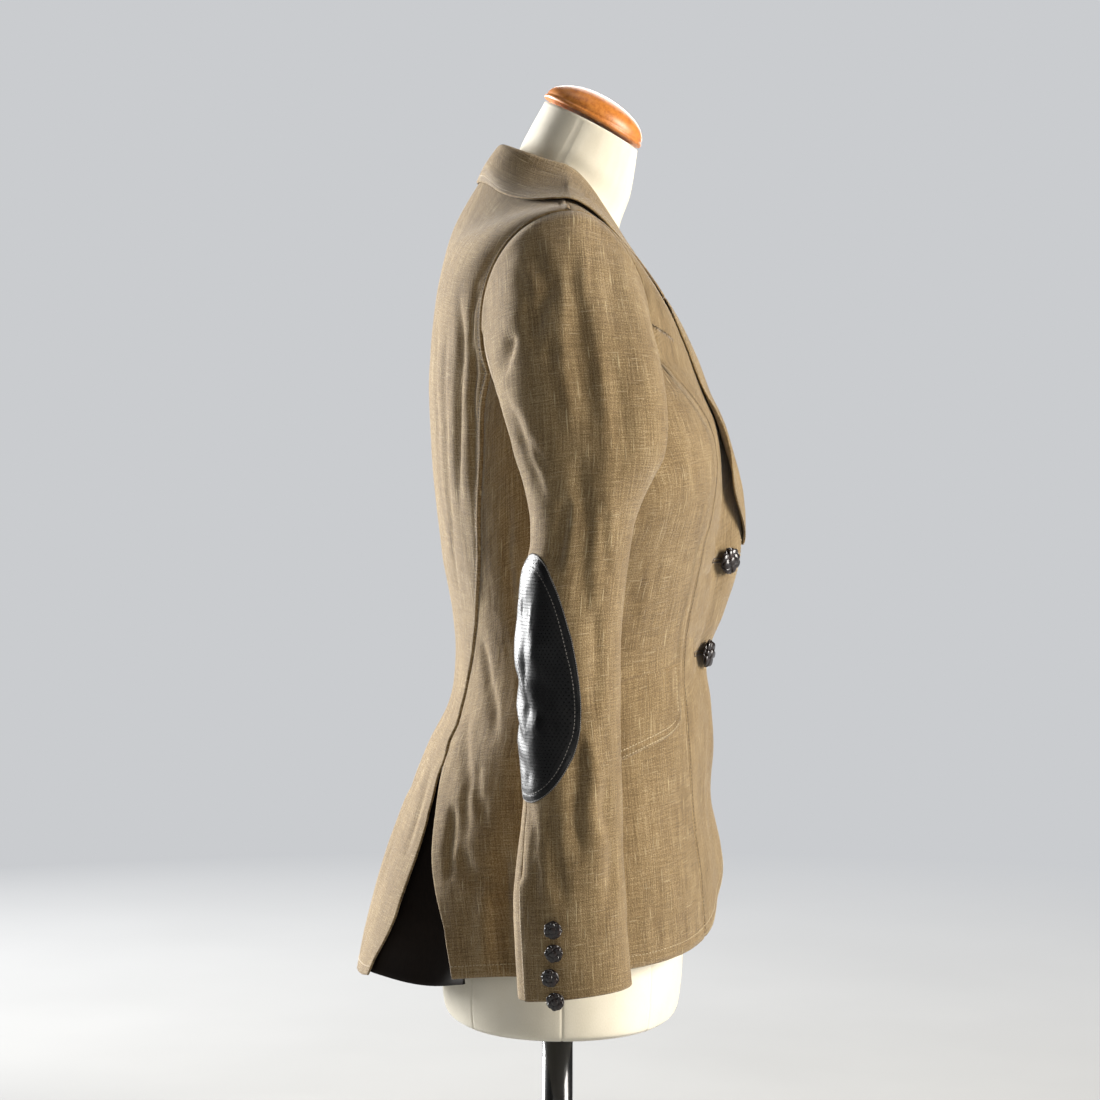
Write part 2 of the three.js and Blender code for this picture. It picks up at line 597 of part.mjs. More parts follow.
/**
 * A point of the turned cloth. u runs up the stand (0 to 1), round the fold (1 to 2) and down to the outer edge
 * (2 to 3); face is 0 on the side that ends underneath and 1 on the side that ends on top.
 */
function turned(side, u, q, face) {
  const [a, s] = turnBase(side, q);
  const value = (column) => smooth(TURN, column, q);
  const base = torso(a, s);
  const [aNext, sNext] = turnBase(side, q + 0.02);
  const [aBefore, sBefore] = turnBase(side, Math.max(q - 0.02, 0));
  const along = torso(aNext, sNext).sub(torso(aBefore, sBefore)).normalize();
  const surfaceNormal = torsoNormal(a, s);
  const up = new THREE.Vector3().crossVectors(surfaceNormal, along).normalize();
  const lean = value("lean");
  const rising = up.clone().addScaledVector(surfaceNormal, lean).normalize();
  const outward = surfaceNormal.clone().addScaledVector(up, -lean).normalize();
  const fold = value("fold");
  const foot = base.addScaledVector(up, COLLAR_GAP + CLOTH * Math.max(-lean, 0));
  if (u <= 1) return foot.addScaledVector(rising, value("stand") * u).addScaledVector(outward, -CLOTH * face);
  foot.addScaledVector(rising, value("stand"));
  if (u <= 2) {
    const angle = Math.PI * (u - 1);
    const radius = fold / 2 + CLOTH * face;
    return foot
      .addScaledVector(outward, fold / 2 - radius * Math.cos(angle))
      .addScaledVector(rising, radius * Math.sin(angle));
  }
  const top = foot.addScaledVector(outward, fold + CLOTH * face);
  const [edgeA, edgeS] = ["a", "s"].map((column) => smooth(turnEdges, column, q));
  const edge = torsoAt(edgeA, edgeS, 2 * OVERLAY + value("spring") + CLOTH * face);
  const shoulder = top.clone().addScaledVector(rising, -0.5 * top.distanceTo(edge));
  const t = u - 2;
  return top
    .multiplyScalar((1 - t) ** 2)
    .addScaledVector(shoulder, 2 * t * (1 - t))
    .addScaledVector(edge, t * t);
}

const TURN_COLUMNS = [0, 1, 1.33, 1.67, 2, 2.2, 2.4, 2.55, 2.7, 2.85, 3];
const notchShare = (u) => Math.max((u - 2 - NOTCH.at) / (1 - NOTCH.at), 0);

function lapelGeometry(side) {
  const foot = LAPEL_FOOT[side];
  const grid = (face) =>
    TURN_COLUMNS.slice(1).map((u) =>
      spread(12).map((v) => {
        const end = GORGE - GORGE_GAP - NOTCH.lapelCut * notchShare(u);
        return turned(side, u, mix(foot, end, v), face);
      }),
    );
  return wallFromGrids(placedGrid(grid(1), side), placedGrid(grid(0), side));
}

function collarGeometry() {
  const rows = spread(12);
  const grid = (face) =>
    TURN_COLUMNS.map((u) => {
      const start = GORGE + GORGE_GAP + NOTCH.collarCut * notchShare(u);
      const half = (side) =>
        rows.map((v) => placed(turned(side, u, mix(start, COLLAR_MIDDLE, v), face), side));
      return [...half(RIGHT), ...half(LEFT).reverse().slice(1)];
    });
  return wallFromGrids(grid(1), grid(0));
}

// ---------------------------------------------------------------- sleeves

const SLEEVE_INSET = GAP + 0.85; // of the sleeve's end inside the armhole
const SLEEVE_STANDOFF = 1.6; // of the sleeve's end outwards
const SLEEVE_HALF_GAP = 0.0007; // at the sleeve's seams, as a fraction of the way round
const SLEEVE_NORMAL_END = 0.97; // row of the cap beyond which its normal is kept

function sleeveRing(v, q) {
  const value = (column) => smooth(SLEEVE, column, q);
  const [cos, sin] = [Math.cos(2 * Math.PI * v), Math.sin(2 * Math.PI * v)];
  const power = 2 / SLEEVE_FULLNESS;
  const [halfX, halfY] = [(value("xOuter") - value("xInner")) / 2, (value("yBack") - value("yFront")) / 2];
  const x = (value("xOuter") + value("xInner")) / 2 - halfX * Math.sign(cos) * Math.abs(cos) ** power;
  const across = -halfY * Math.sign(sin) * Math.abs(sin) ** power;
  const y = (value("yBack") + value("yFront")) / 2 + across;
  return new THREE.Vector3(x, y, value("z") + value("tilt") * across);
}

const armholePoints = new Map();

/** The sleeve without its creases: rings up to SLEEVE_TOP, then the cap, one row more to the armhole. */
function smoothSleeve(v, q) {
  if (q <= SLEEVE_TOP) return sleeveRing(v, q);
  const key = (v + 1).toFixed(5);
  if (!armholePoints.has(key)) {
    const end = torso(...armholeWhere(v, SLEEVE_INSET));
    armholePoints.set(key, end.setX(end.x + SLEEVE_STANDOFF));
  }
  const from = sleeveRing(v, SLEEVE_TOP);
  const to = armholePoints.get(key);
  const length = from.distanceTo(to);
  const before = sleeveRing(v, SLEEVE_TOP - 0.5);
  const leaving = from.clone().sub(before).normalize().multiplyScalar(length * CAP_REACH.ring);
  const crown = Math.max(-Math.cos(2 * Math.PI * v), 0) ** 1.5;
  const arriving = new THREE.Vector3(-1, 0, CAP_REACH.lift + CAP_REACH.crownLift * crown)
    .setLength(length * CAP_REACH.armhole);
  const t = q - SLEEVE_TOP;
  return from
    .clone()
    .multiplyScalar(2 * t ** 3 - 3 * t ** 2 + 1)
    .addScaledVector(leaving, t ** 3 - 2 * t ** 2 + t)
    .addScaledVector(to, 3 * t ** 2 - 2 * t ** 3)
    .addScaledVector(arriving, t ** 3 - t ** 2);
}

/** How far the creases draw a sleeve's outer side in at a point. */
function creaseDepth(p) {
  let depth = 0;
  for (const { y1, z1, y2, z2, width, depth: most } of SLEEVE_CREASES) {
    const [dy, dz] = [y2 - y1, z2 - z1];
    const along = Math.min(Math.max(((p.y - y1) * dy + (p.z - z1) * dz) / (dy * dy + dz * dz), 0), 1);
    const distance = Math.hypot(p.y - y1 - along * dy, p.z - z1 - along * dz);
    depth += most * Math.exp(-((distance / width) ** 2));
  }
  return depth;
}

const sleeveNormal = (v, q) => normalOf(smoothSleeve, v, Math.min(q, SLEEVE_TOP + SLEEVE_NORMAL_END), 3e-3);

/** A point of the sleeve's cloth, at a distance outside its outer face. */
function sleeveAt(v, q, lift = 0) {
  const p = smoothSleeve(v, q);
  const isOuterSide = smoothstep((v - 0.3) / 0.08) * smoothstep((0.76 - v) / 0.08);
  const fade = smoothstep((SLEEVE_TOP + SLEEVE_NORMAL_END - q) * 5);
  return p.addScaledVector(sleeveNormal(v, q), lift - creaseDepth(p) * isOuterSide * fade);
}

const SLEEVE_ROWS = [
  0, 1, 2, 3, 4, 5, 6, 7, 8, 9, 10, 11, 12, 12.14, 12.28, 12.42, 12.56, 12.7, 12.82, 12.92, 13,
];

function sleevePieceGeometry(side, columns, fromV, toV) {
  const grid = (lift) =>
    spread(columns).map((u) =>
      SLEEVE_ROWS.map((q) => {
        return sleeveAt(mix(fromV(q) + SLEEVE_HALF_GAP, toV(q) - SLEEVE_HALF_GAP, u), q, lift);
      }),
    );
  return wallFromGrids(placedGrid(grid(0), side), placedGrid(grid(-CLOTH), side));
}

/** The (v, q) on a sleeve's outer side at a height and y of the side view. */
function sleeveWhere(y, z) {
  const q = solve((row) => smoothSleeve(0.5, row).z - z, 0, SLEEVE_TOP);
  return [solve((v) => smoothSleeve(v, q).y - y, 0.3, 0.72), q];
}

/** A round patch on the sleeve, over its back edge. */
function patchGeometry(side) {
  const grid = (lift) =>
    spread(8).map((i) =>
      spread(12).map((j) => {
        const [p, r] = [2 * i - 1, 2 * j - 1];
        const across = p * Math.sqrt(1 - (r * r) / 2);
        const up = r * Math.sqrt(1 - (p * p) / 2);
        const z = PATCH.z + up * (up > 0 ? PATCH.up : PATCH.down);
        const q = solve((row) => sleeveRing(0.6, row).z - z, 0, SLEEVE_TOP);
        const perMillimetre = 2e-3 / sleeveRing(0.661, q).distanceTo(sleeveRing(0.659, q));
        return sleeveAt(PATCH.v + across * PATCH.halfWidth * perMillimetre, q, lift);
      }),
    );
  const innerLift = 1.7 * OVERLAY;
  return wallFromGrids(placedGrid(grid(innerLift + LEATHER), side), placedGrid(grid(innerLift), side));
}

// ---------------------------------------------------------------- pocket flaps and buttons

function flapGeometry(side) {
  const point = (u, v, lift) => {
    const y = mix(FLAP.frontY, FLAP.backY, u);
    const fromCorner = Math.min((y - FLAP.frontY) / FLAP.corner, 1);
    const rounded = FLAP.corner * (1 - Math.sqrt(1 - (1 - fromCorner) ** 2)) * 0.8;
    const top = mix(FLAP.frontTop, FLAP.backTop, u);
    const z = top - v * (mix(FLAP.frontDrop, FLAP.backDrop, u) - rounded);
    const [a, s] = torsoWhere({ y, z }, [0.35 + 0.12 * u, 5.5]);
    return torsoAt(a, s, lift);
  };
  const columns = [0, 0.03, 0.08, 0.14, 0.3, 0.45, 0.6, 0.8, 1];
  const grid = (lift) => columns.map((u) => spread(6).map((v) => point(u, v, lift)));
  return wallFromGrids(placedGrid(grid(2 * OVERLAY + CLOTH), side), placedGrid(grid(2 * OVERLAY), side));
}

/** A domed shank button, its foot at the origin and its face up. */
function buttonGeometry({ radius, height }) {
  const profile = [
    [0, 0], [0.22, 0], [0.22, 0.3], [0.75, 0.3], [1, 0.52], [0.93, 0.72], [0.6, 0.93], [0, 1],
  ].map(([r, h]) => new THREE.Vector2(r * radius, h * height));
  return new THREE.LatheGeometry(profile, 10).rotateX(Math.PI / 2);
}

function addButton(name, size, position, normal, side) {
  const button = addPiece(name, buttonGeometry(size), BUTTON_FINISH);
  button.position.copy(placed(position, side));
  const facing = new THREE.Vector3(side * normal.x, normal.y, normal.z);
  button.quaternion.setFromUnitVectors(new THREE.Vector3(0, 0, 1), facing);
}

function frontButtons() {
  FRONT_BUTTONS.forEach(({ x, z }, i) => {
    const [a, s] = torsoWhere({ x, z }, [0.05, 7]);
    const foot = torsoAt(a, s, BUTTON_STANDOFF);
    addButton(`front_button_${i + 1}`, FRONT_BUTTON, foot, torsoNormal(a, s), RIGHT);
  });
}

function cuffButtons(side) {
  CUFF_BUTTONS.forEach(({ y, z }, i) => {
    const [v, q] = sleeveWhere(y, z);
    const normal = sleeveNormal(v, q);
    const name = `cuff_button_${sideName(side)}_${i + 1}`;
    addButton(name, CUFF_BUTTON, sleeveAt(v, q, BUTTON_STANDOFF), normal, side);
  });
}

// ---------------------------------------------------------------- dress form and stand

function formGeometry() {
  const SHOULDER_ROW = 8;
  const drawnIn = BODY.slice(5, NECK_RING + 1).map((row, i) => ({
    ...row,
    prow: 0,
    front: row.front - FORM_EASE * (i === SHOULDER_ROW ? 1.3 : 1),
    back: row.back - FORM_EASE,
    half: row.half - FORM_EASE * (i === SHOULDER_ROW ? 3 : 1),
    zSide: row.zSide - (i >= SHOULDER_ROW - 1 ? FORM_EASE : 0),
    zFront: row.zFront - (i >= SHOULDER_ROW ? FORM_EASE * 0.7 : 0),
    zBack: row.zBack - (i >= SHOULDER_ROW ? FORM_EASE / 2 : 0),
  }));
  const rows = [...FORM_LOWER, ...drawnIn.slice(0, -1), ...FORM_NECK];
  const around = spread(28).slice(0, -1).map((t) => 2 * t);
  const rings = spread(24).map((t) => {
    const s = t * (rows.length - 1);
    return around.map((a) => {
      const p = sectionPoint(rows, a > 1 ? 2 - a : a, s);
      return placed(p, a > 1 ? RIGHT : LEFT);
    });
  });
  return solidThroughRings(rings);
}

function standAndCap() {
  const wood = new THREE.LatheGeometry(
    [
      new THREE.Vector2(0, 0),
      new THREE.Vector2(CAP.radius, 0),
      new THREE.Vector2(CAP.radius, CAP.rim),
      ...spread(7).map((t) => {
        const angle = (Math.PI / 2) * t;
        const r = t === 1 ? 0 : (CAP.radius - 1) * Math.cos(angle);
        return new THREE.Vector2(r, CAP.rim + 0.5 + CAP.dome * Math.sin(angle));
      }),
    ],
    24,
  ).rotateX(Math.PI / 2);
  const cap = addPiece("form_cap", wood, WOOD_FINISH);
  cap.rotation.x = CAP.lean;
  cap.position.set(0, CAP.y, CAP.z + FORM_FOOT);

  const top = FORM_FOOT - GAP;
  const baseTop = BASE.height;
  const base = new THREE.LatheGeometry(
    [
      [0, 0], [BASE.radius, 0], [BASE.radius, BASE.height - BASE.bevel],
      [BASE.radius - BASE.bevel, BASE.height], [0, BASE.height],
    ].map(([r, z]) => new THREE.Vector2(r, z)),
    36,
  ).rotateX(Math.PI / 2);
  addPiece("stand_base", base, STEEL_FINISH);
  const pole = new THREE.LatheGeometry(
    [
      [0, baseTop + GAP],
      [POLE.flangeRadius, baseTop + GAP],
      [POLE.flangeRadius, baseTop + POLE.flangeHeight * 0.5],
      [POLE.radius, baseTop + POLE.flangeHeight],
      [POLE.radius, top],
      [0, top],
    ].map(([r, z]) => new THREE.Vector2(r, z)),
    20,
  ).rotateX(Math.PI / 2);
  addPiece("stand_pole", pole, STEEL_FINISH);
}

// ---------------------------------------------------------------- the whole

for (const side of [RIGHT, LEFT]) {
  const name = sideName(side);
  torsoPanels(side);
  addPiece(`pleat_${name}`, pleatGeometry(side), LINING_FINISH);
  addPiece(`lapel_${name}`, lapelGeometry(side), CLOTH_FINISH);
  const backSeam = (q) => lookup(SLEEVE_BACK_SEAM, "q", q, "v");
  const sleeveUpper = sleevePieceGeometry(side, 15, () => SLEEVE_FRONT_SEAM, backSeam);
  addPiece(`sleeve_upper_${name}`, sleeveUpper, CLOTH_FINISH);
  const sleeveUnder = sleevePieceGeometry(side, 8, backSeam, () => 1 + SLEEVE_FRONT_SEAM);
  addPiece(`sleeve_under_${name}`, sleeveUnder, CLOTH_FINISH);
  addPiece(`elbow_patch_${name}`, patchGeometry(side), LEATHER_FINISH);
  addPiece(`pocket_flap_${name}`, flapGeometry(side), CLOTH_FINISH);
  cuffButtons(side);
}
addPiece("collar", collarGeometry(), CLOTH_FINISH);
frontButtons();
addPiece("form_torso", formGeometry(), FORM_FINISH);
standAndCap();

export default blazer;
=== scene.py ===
import math

import bpy
import numpy as np
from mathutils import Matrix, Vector
from mathutils.geometry import delaunay_2d_cdt


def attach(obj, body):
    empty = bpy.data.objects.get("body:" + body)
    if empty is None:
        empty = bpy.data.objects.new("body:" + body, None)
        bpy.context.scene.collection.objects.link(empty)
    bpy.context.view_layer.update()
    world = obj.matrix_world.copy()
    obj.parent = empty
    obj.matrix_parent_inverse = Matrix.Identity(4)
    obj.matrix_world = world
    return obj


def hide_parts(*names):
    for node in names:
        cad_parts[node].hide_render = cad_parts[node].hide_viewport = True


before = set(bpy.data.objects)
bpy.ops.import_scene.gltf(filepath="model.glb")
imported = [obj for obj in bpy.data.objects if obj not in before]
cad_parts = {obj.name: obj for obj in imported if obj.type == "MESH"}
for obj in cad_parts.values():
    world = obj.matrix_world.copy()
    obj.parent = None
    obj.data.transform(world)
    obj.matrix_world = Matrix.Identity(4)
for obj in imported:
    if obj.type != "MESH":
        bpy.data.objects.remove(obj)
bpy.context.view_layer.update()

CLOTH = 2.2
SHELL = 1.7  # thickness of the linen as it shows
GAP = 0.35
OVERLAY = 0.8
FORM_FOOT = 170
FORM_EASE = 9
BASE = dict(radius=150, height=12, bevel=3)
POLE = dict(radius=12, flange_radius=32, flange_height=10)
CAP = dict(radius=42, rim=3, dome=19, y=-26.5, z=687, lean=0.49)
RIGHT, LEFT = -1, 1
SIDES = {RIGHT: "right", LEFT: "left"}
MM = 0.001


# ---------------------------------------------------------------- tables


def table(columns, *rows):
    """Named columns of numbers; an empty cell is NaN."""
    cells = [[math.nan if cell is None else cell for cell in row] for row in rows]
    return {name: np.array([row[i] for row in cells], float) for i, name in enumerate(columns.split())}


def smooth(rows, column, at):
    """A column's value at a fractional row, on a smooth curve through the rows."""
    values = rows[column]
    last = len(values) - 1
    at = np.clip(at, 0, last)
    i = np.minimum(np.floor(at).astype(int), last - 1)
    f = at - i
    before, here = values[np.maximum(i - 1, 0)], values[i]
    there, after = values[i + 1], values[np.minimum(i + 2, last)]
    slope, next_slope = (there - before) / 2, (after - here) / 2
    bend = 3 * (there - here) - 2 * slope - next_slope
    twist = 2 * (here - there) + slope + next_slope
    return here + f * (slope + f * (bend + f * twist))


def lookup(rows, key_column, key, column):
    """A column's value where a rising key column has the given value."""
    keys = rows[key_column]
    i = np.clip(np.searchsorted(keys[1:], key, side="left"), 0, len(keys) - 2)
    share = np.clip((key - keys[i]) / (keys[i + 1] - keys[i]), 0, 1)
    return smooth(rows, column, i + share)


SECTION = "zSide zFront zBack half front back mid boxFront boxBack prow bow"
BODY = table(
    SECTION,
    [10, 10, 10, 173, 128, 160, -4, 0.06, 0.1, 2, 1.6],
    [60, 60, 60, 171, 126, 151, -4, 0.06, 0.1, 3, 1.6],
    [112, 112, 112, 168, 124, 137, -4, 0.06, 0.08, 6, 1.6],
    [165, 165, 165, 162, 117, 118, -4, 0.06, 0.06, 3, 1.6],
    [205, 205, 205, 153, 118, 101, -4, 0.06, 0.04, 4, 1.6],
    [238, 238, 238, 144, 116, 84.5, -4, 0.06, 0.04, 4, 1.6],
    [272, 272, 272, 137, 111, 79.5, -4, 0.06, 0.05, 6, 1.6],
    [308, 308, 308, 139, 116, 81.5, -4, 0.08, 0.08, 14, 1.6],
    [350, 350, 350, 147, 123, 89, -4, 0.12, 0.12, 19, 1.6],
    [400, 400, 400, 156, 127, 95, -4, 0.18, 0.16, 15, 1.6],
    [448, 448, 448, 160, 125, 98.5, -5, 0.18, 0.18, 7, 1.6],
    [500, 478, 490, 164, 114, 99.5, -7, 0.14, 0.18, 3, 1.6],
    [560, 505, 530, 172, 103.5, 96.5, -9, 0.1, 0.16, 0, 1.6],
    [607, 529, 566, 190, 90, 91, -9, 0.04, 0.1, 0, 1.6],
    [618, 560, 606, 119, 69, 80, -6, 0.02, 0.04, 0, 1.6],
    [642, 589, 645, 63, 48, 58, -3, 0, 0, 0, 1.6],
)
NECK_RING = len(BODY["half"]) - 1
ARMPIT_RING = 10
PROW_HALF_WIDTH = 36

FORM_LOWER = table(
    SECTION,
    [0, 0, 0, 150, 86, 78, -3, 0.1, 0.1, 0, 1],
    [2.5, 2.5, 2.5, 158, 92, 85, -3, 0.1, 0.1, 0, 1],
    [9, 9, 9, 162, 95, 89, -3, 0.1, 0.1, 0, 1],
    [40, 40, 40, 160, 98, 90, -3, 0.1, 0.1, 0, 1],
    [120, 120, 120, 152, 101, 87, -3, 0.08, 0.08, 0, 1],
    [200, 200, 200, 140, 101, 80, -4, 0.06, 0.06, 0, 1],
)
FORM_NECK = table(
    SECTION,
    [640, 598, 641, 52, 47, 41, -4, 0, 0, 0, 1.3],
    [662, 632, 672, 45.5, 56.5, 27, -15, 0, 0, 0, 1],
    [684, 665, 703, 41.5, 62, 10, -26, 0, 0, 0, 1],
)

PRINCESS_SEAM = table(
    "z y",
    [60, -112], [115, -108], [162, -102], [230, -97.5], [273, -95], [305, -98], [341, -105.7],
    [360, -109], [387, -116], [423, -121], [447, -117], [470, -104], [494, -84], [508, -70],
)
SIDE_SEAM_Y = 8
BACK_SEAM = table(
    "z y",
    [212, 82.5], [228, 75.6], [252, 69.5], [282, 64], [321, 60], [351, 58], [396, 57.6], [433, 55.5], [470, 54],
    [500, 47], [515, 38],
)
TAIL_EDGE = table(
    "z y",
    [20, 147], [38, 144], [77, 126], [102, 117], [137, 105], [168, 96.5], [190, 90.5], [212, 82.5],
)
SIDE_PANEL_EDGE = table(
    "z y",
    [20, 76], [35, 77], [83, 84], [113, 92], [136, 94], [168, 91.5], [190, 88], [212, 82.5],
)
PLEAT_TOP = 212
HEM = table(
    "a z",
    [-0.03, 132], [0, 112], [0.04, 93], [0.08, 80], [0.14, 69], [0.22, 62], [0.34, 57], [0.5, 53], [0.6, 51],
    [0.7, 45], [0.76, 41], [0.84, 38], [0.92, 32], [1, 29],
)
ARMHOLE = dict(
    y=-12, z=528, half_height=81, back_half=67, front_half=54, back_squareness=2.1, front_squareness=1.75,
)

FRONT_EDGE = {
    RIGHT: table(
        "z x",
        [40, -5], [300, -5], [352, -5], [368, -2.5], [386, 2], [410, 9], [441, 19], [476, 30], [516, 42], [555, 53],
        [590, 60], [616, 62.6], [650, 62.6],
    ),
    LEFT: table(
        "z x",
        [40, -22], [320, -22], [352, -20], [368, -13], [386, -2], [410, 9], [441, 19], [476, 30], [516, 42],
        [555, 53], [590, 60], [616, 62.6], [650, 62.6],
    ),
}

TURN = table(
    "z a edgeX edgeY edgeZ stand fold spring lean",
    [360, None, 2, None, 364, 0.5, 1, 1, 0],
    [370, None, 13, None, 379, 0.5, 1, 6, 0],
    [388, None, 27, None, 400, 0.5, 1, 11, 0],
    [412, None, 43, None, 427, 0.5, 1, 10, 0],
    [443, None, 59, None, 460, 0.5, 1.2, 4, 0],
    [478, None, 73, None, 490, 0.5, 1.6, 0, 0],
    [516, None, 88, None, 518, 0.5, 1.8, 0, 0],
    [552, None, 101, None, 543, 0.5, 2.2, 0, 0],
    [584, None, 108, -51, None, 0.6, 2.6, 0.4, 0],
    [608, None, 111, -30, None, 1.2, 3.4, 2, 0],
    [None, 0.475, 117, -7, None, 3.2, 4.4, 3.2, 0.3],
    [None, 0.61, 107, 17, None, 10.5, 5, 1, 0.6],
    [None, 0.76, 78, 38.5, None, 17.5, 5.4, 0.5, 0.4],
    [None, 0.89, 37, 54, None, 21.5, 6, 0.2, -0.1],
    [None, 1, 0, 61, None, 22, 6, 0, -0.39],
    [None, 1.11, -37, 54, None, 21.5, 6, 0.2, -0.1],
)
GORGE = 7
NECKLINE = 10
COLLAR_MIDDLE = 14
LAPEL_FOOT = {RIGHT: 0, LEFT: 2.6}
NOTCH = dict(at=0.55, lapel_cut=0.3, collar_cut=0.75)

SLEEVE = table(
    "z yFront yBack xInner xOuter tilt",
    [50.5, -53, 29, 181, 247, -0.12],
    [85, -50, 31, 179, 248, -0.06],
    [118, -48.5, 32, 177, 248, 0],
    [150, -46.8, 29, 175, 247, 0],
    [190, -46, 25, 171, 245, 0],
    [228, -45, 28, 167, 243, 0],
    [262, -45, 30, 164, 242, 0],
    [300, -45.5, 30.5, 161, 241, 0],
    [342, -49, 27, 161, 240, 0],
    [366, -52, 21, 161, 240, 0],
    [388, -56, 20.5, 162, 240.5, 0],
    [408, -63.5, 24, 163.5, 241, 0],
    [426, -73, 29.5, 165, 241, 0],
)
SLEEVE_TOP = len(SLEEVE["z"]) - 1
SLEEVE_FULLNESS = 2.25
CAP_REACH = dict(ring=0.82, armhole=0.62, lift=0.16, crown_lift=0.55)
SLEEVE_FRONT_SEAM = 0.19
SLEEVE_BACK_SEAM = table("q v", [0, 0.66], [2, 0.665], [4, 0.7], [6, 0.735], [9, 0.75], [14, 0.76])
SLEEVE_INSET = 0.15
SLEEVE_STANDOFF = 0.3

PATCH = dict(v=0.672, z=258, up=106, down=71, half_width=46)
FLAP = dict(front_y=-91, back_y=-4, front_top=275.5, back_top=257, front_drop=50, back_drop=66, corner=12)
FRONT_BUTTONS = [(22, 349), (24, 277.5)]
BUTTON_STANDOFF = 1.2
FRONT_BUTTON = dict(radius=12, height=8)
CUFF_BUTTONS = [(3.2, 100), (2.5, 84), (5, 67), (1.5, 50)]
CUFF_BUTTON = dict(radius=7.4, height=6.5)
PLEAT = dict(bottom=44, drop=7, sag=4, top=203, overlap=9, depth=26, wall=1.2)
UNDERLAP = dict(drop=CLOTH + 2.4, start=12, stop=38, fade_low=385, fade_high=430)

# Folds as lines in the side view (y, z): the line, its width on the back and on the front side, its depth.
# A positive depth is a trough.
SLEEVE_FOLDS = [
    ([(-11.8, 592), (-11.8, 557), (-15.4, 535), (-18.9, 494), (-23.9, 447)], 9, 5, 3),
    ([(-13.9, 441), (-18.9, 416), (-20.4, 386), (-18.9, 357), (-21.1, 311)], 9, 4.5, 2.6),
    ([(19, 592), (8.2, 553), (15.4, 525), (13.2, 502)], 8, 5, 3.4),
    ([(31.8, 519), (41, 488)], 6, 3.5, 4),
    ([(5.4, 513), (1, 500)], 4, 4, 2),
    ([(-4.6, 408), (-1.8, 380), (1.1, 350)], 6, 3, 3.6),
    ([(-38.2, 568), (-40, 526)], 9, 6, 1.8),
    ([(-29, 560), (-31, 480), (-36, 420), (-37, 340)], 7, 7, -1.8),
    ([(-2, 560), (-4, 500), (-9, 440)], 5, 6, -1.8),
    ([(4, 580), (2, 550), (-2, 520)], 3, 2.5, 1.4),
    ([(-24, 586), (-26, 560), (-25, 540)], 3, 2.5, 1.2),
    ([(28, 570), (22, 545), (24, 520)], 4, 3, 1.6),
    ([(-30, 520), (-44, 470), (-52, 430)], 8, 6, 1.6),
    ([(34, 470), (22, 430), (10, 400)], 7, 4, 2.6),
    ([(40, 480), (30, 450), (24, 430)], 4, 3, 1.6),
    ([(24, 448), (8, 424)], 5, 3, 1.6),
    ([(-34, 400), (-33, 370), (-38, 340)], 4, 3, 1.2),
    ([(12, 300), (-2, 262), (-20, 240)], 9, 6, 2),
    ([(-26, 330), (-30, 290), (-26, 250)], 7, 4, 2.4),
    ([(-16.1, 240), (-15, 200), (-13.9, 150)], 7, 4, 3.6),
    ([(-17.5, 250), (-25.4, 204), (-28.2, 168), (-25.4, 130)], 7, 6, -2),
    ([(-31.8, 210), (-39, 156), (-38, 110)], 6, 4.5, 3),
    ([(8, 190), (2, 150), (-6, 110)], 8, 5, 1.8),
    ([(16, 150), (14, 112)], 6, 4, 1.6),
    ([(22, 196), (18, 168), (20, 140)], 4, 4, 1.4),
]
# The same for the sleeve's side towards the body: places are (fraction round the sleeve, z).
UNDER_FOLDS = [
    ([(0.98, 410), (1.02, 340), (1.0, 280)], 9, 8, 2.6),
    ([(0.9, 400), (0.93, 330)], 8, 8, 2),
    ([(1.1, 300), (1.06, 220), (1.08, 150)], 9, 9, 2.4),
    ([(0.86, 250), (0.92, 180), (0.9, 110)], 9, 8, 2),
    ([(1.0, 170), (0.98, 90)], 8, 8, 1.6),
]
# Folds of the body by side view place (y, z), for the sides and the back.
BODY_FOLDS = [
    ([(72, 560), (71, 500), (74, 440), (72, 380)], 6, 4, 3),
    ([(82, 530), (84, 450), (80, 370), (74, 320)], 5, 4.5, 2.2),
    ([(62, 520), (61, 455), (63, 400)], 3.5, 3.5, 2.6),
    ([(90, 540), (92, 480), (88, 420)], 5, 5, 1.4),
    ([(54, 560), (62, 535), (66, 500)], 3, 3, 1.2),
    ([(46, 580), (58, 560), (64, 530)], 3, 3, 1),
    ([(58, 300), (52, 262), (45, 220)], 8, 5, 2.4),
    ([(68, 236), (66, 190), (70, 140)], 7, 4.5, 2.4),
    ([(78, 176), (80, 140), (78, 116)], 5, 4, 2.8),
    ([(74, 140), (60, 122), (40, 120)], 8, 5, 3.8),
    ([(60, 206), (58, 180), (50, 160)], 5, 4, 1.6),
    ([(55, 118), (54, 80), (53, 48)], 7, 8, -3),
    ([(38, 150), (37, 100), (36, 46)], 8, 7, 5.5),
    ([(14, 300), (2, 276), (-16, 262)], 8, 5, 2.6),
    ([(30, 320), (16, 292), (-4, 284)], 7, 4, 2.2),
    ([(20, 420), (18, 360), (12, 320)], 8, 5, 2.2),
    ([(34, 400), (36, 340), (30, 290)], 6, 5, 2),
    ([(-30, 420), (-44, 360), (-60, 300)], 9, 7, 1),
    ([(-20, 180), (-26, 110), (-28, 70)], 9, 6, 1.8),
    ([(110, 200), (122, 150), (138, 90)], 8, 6, 2.2),
    ([(96, 196), (106, 160), (118, 120)], 5, 5, 1.6),
]
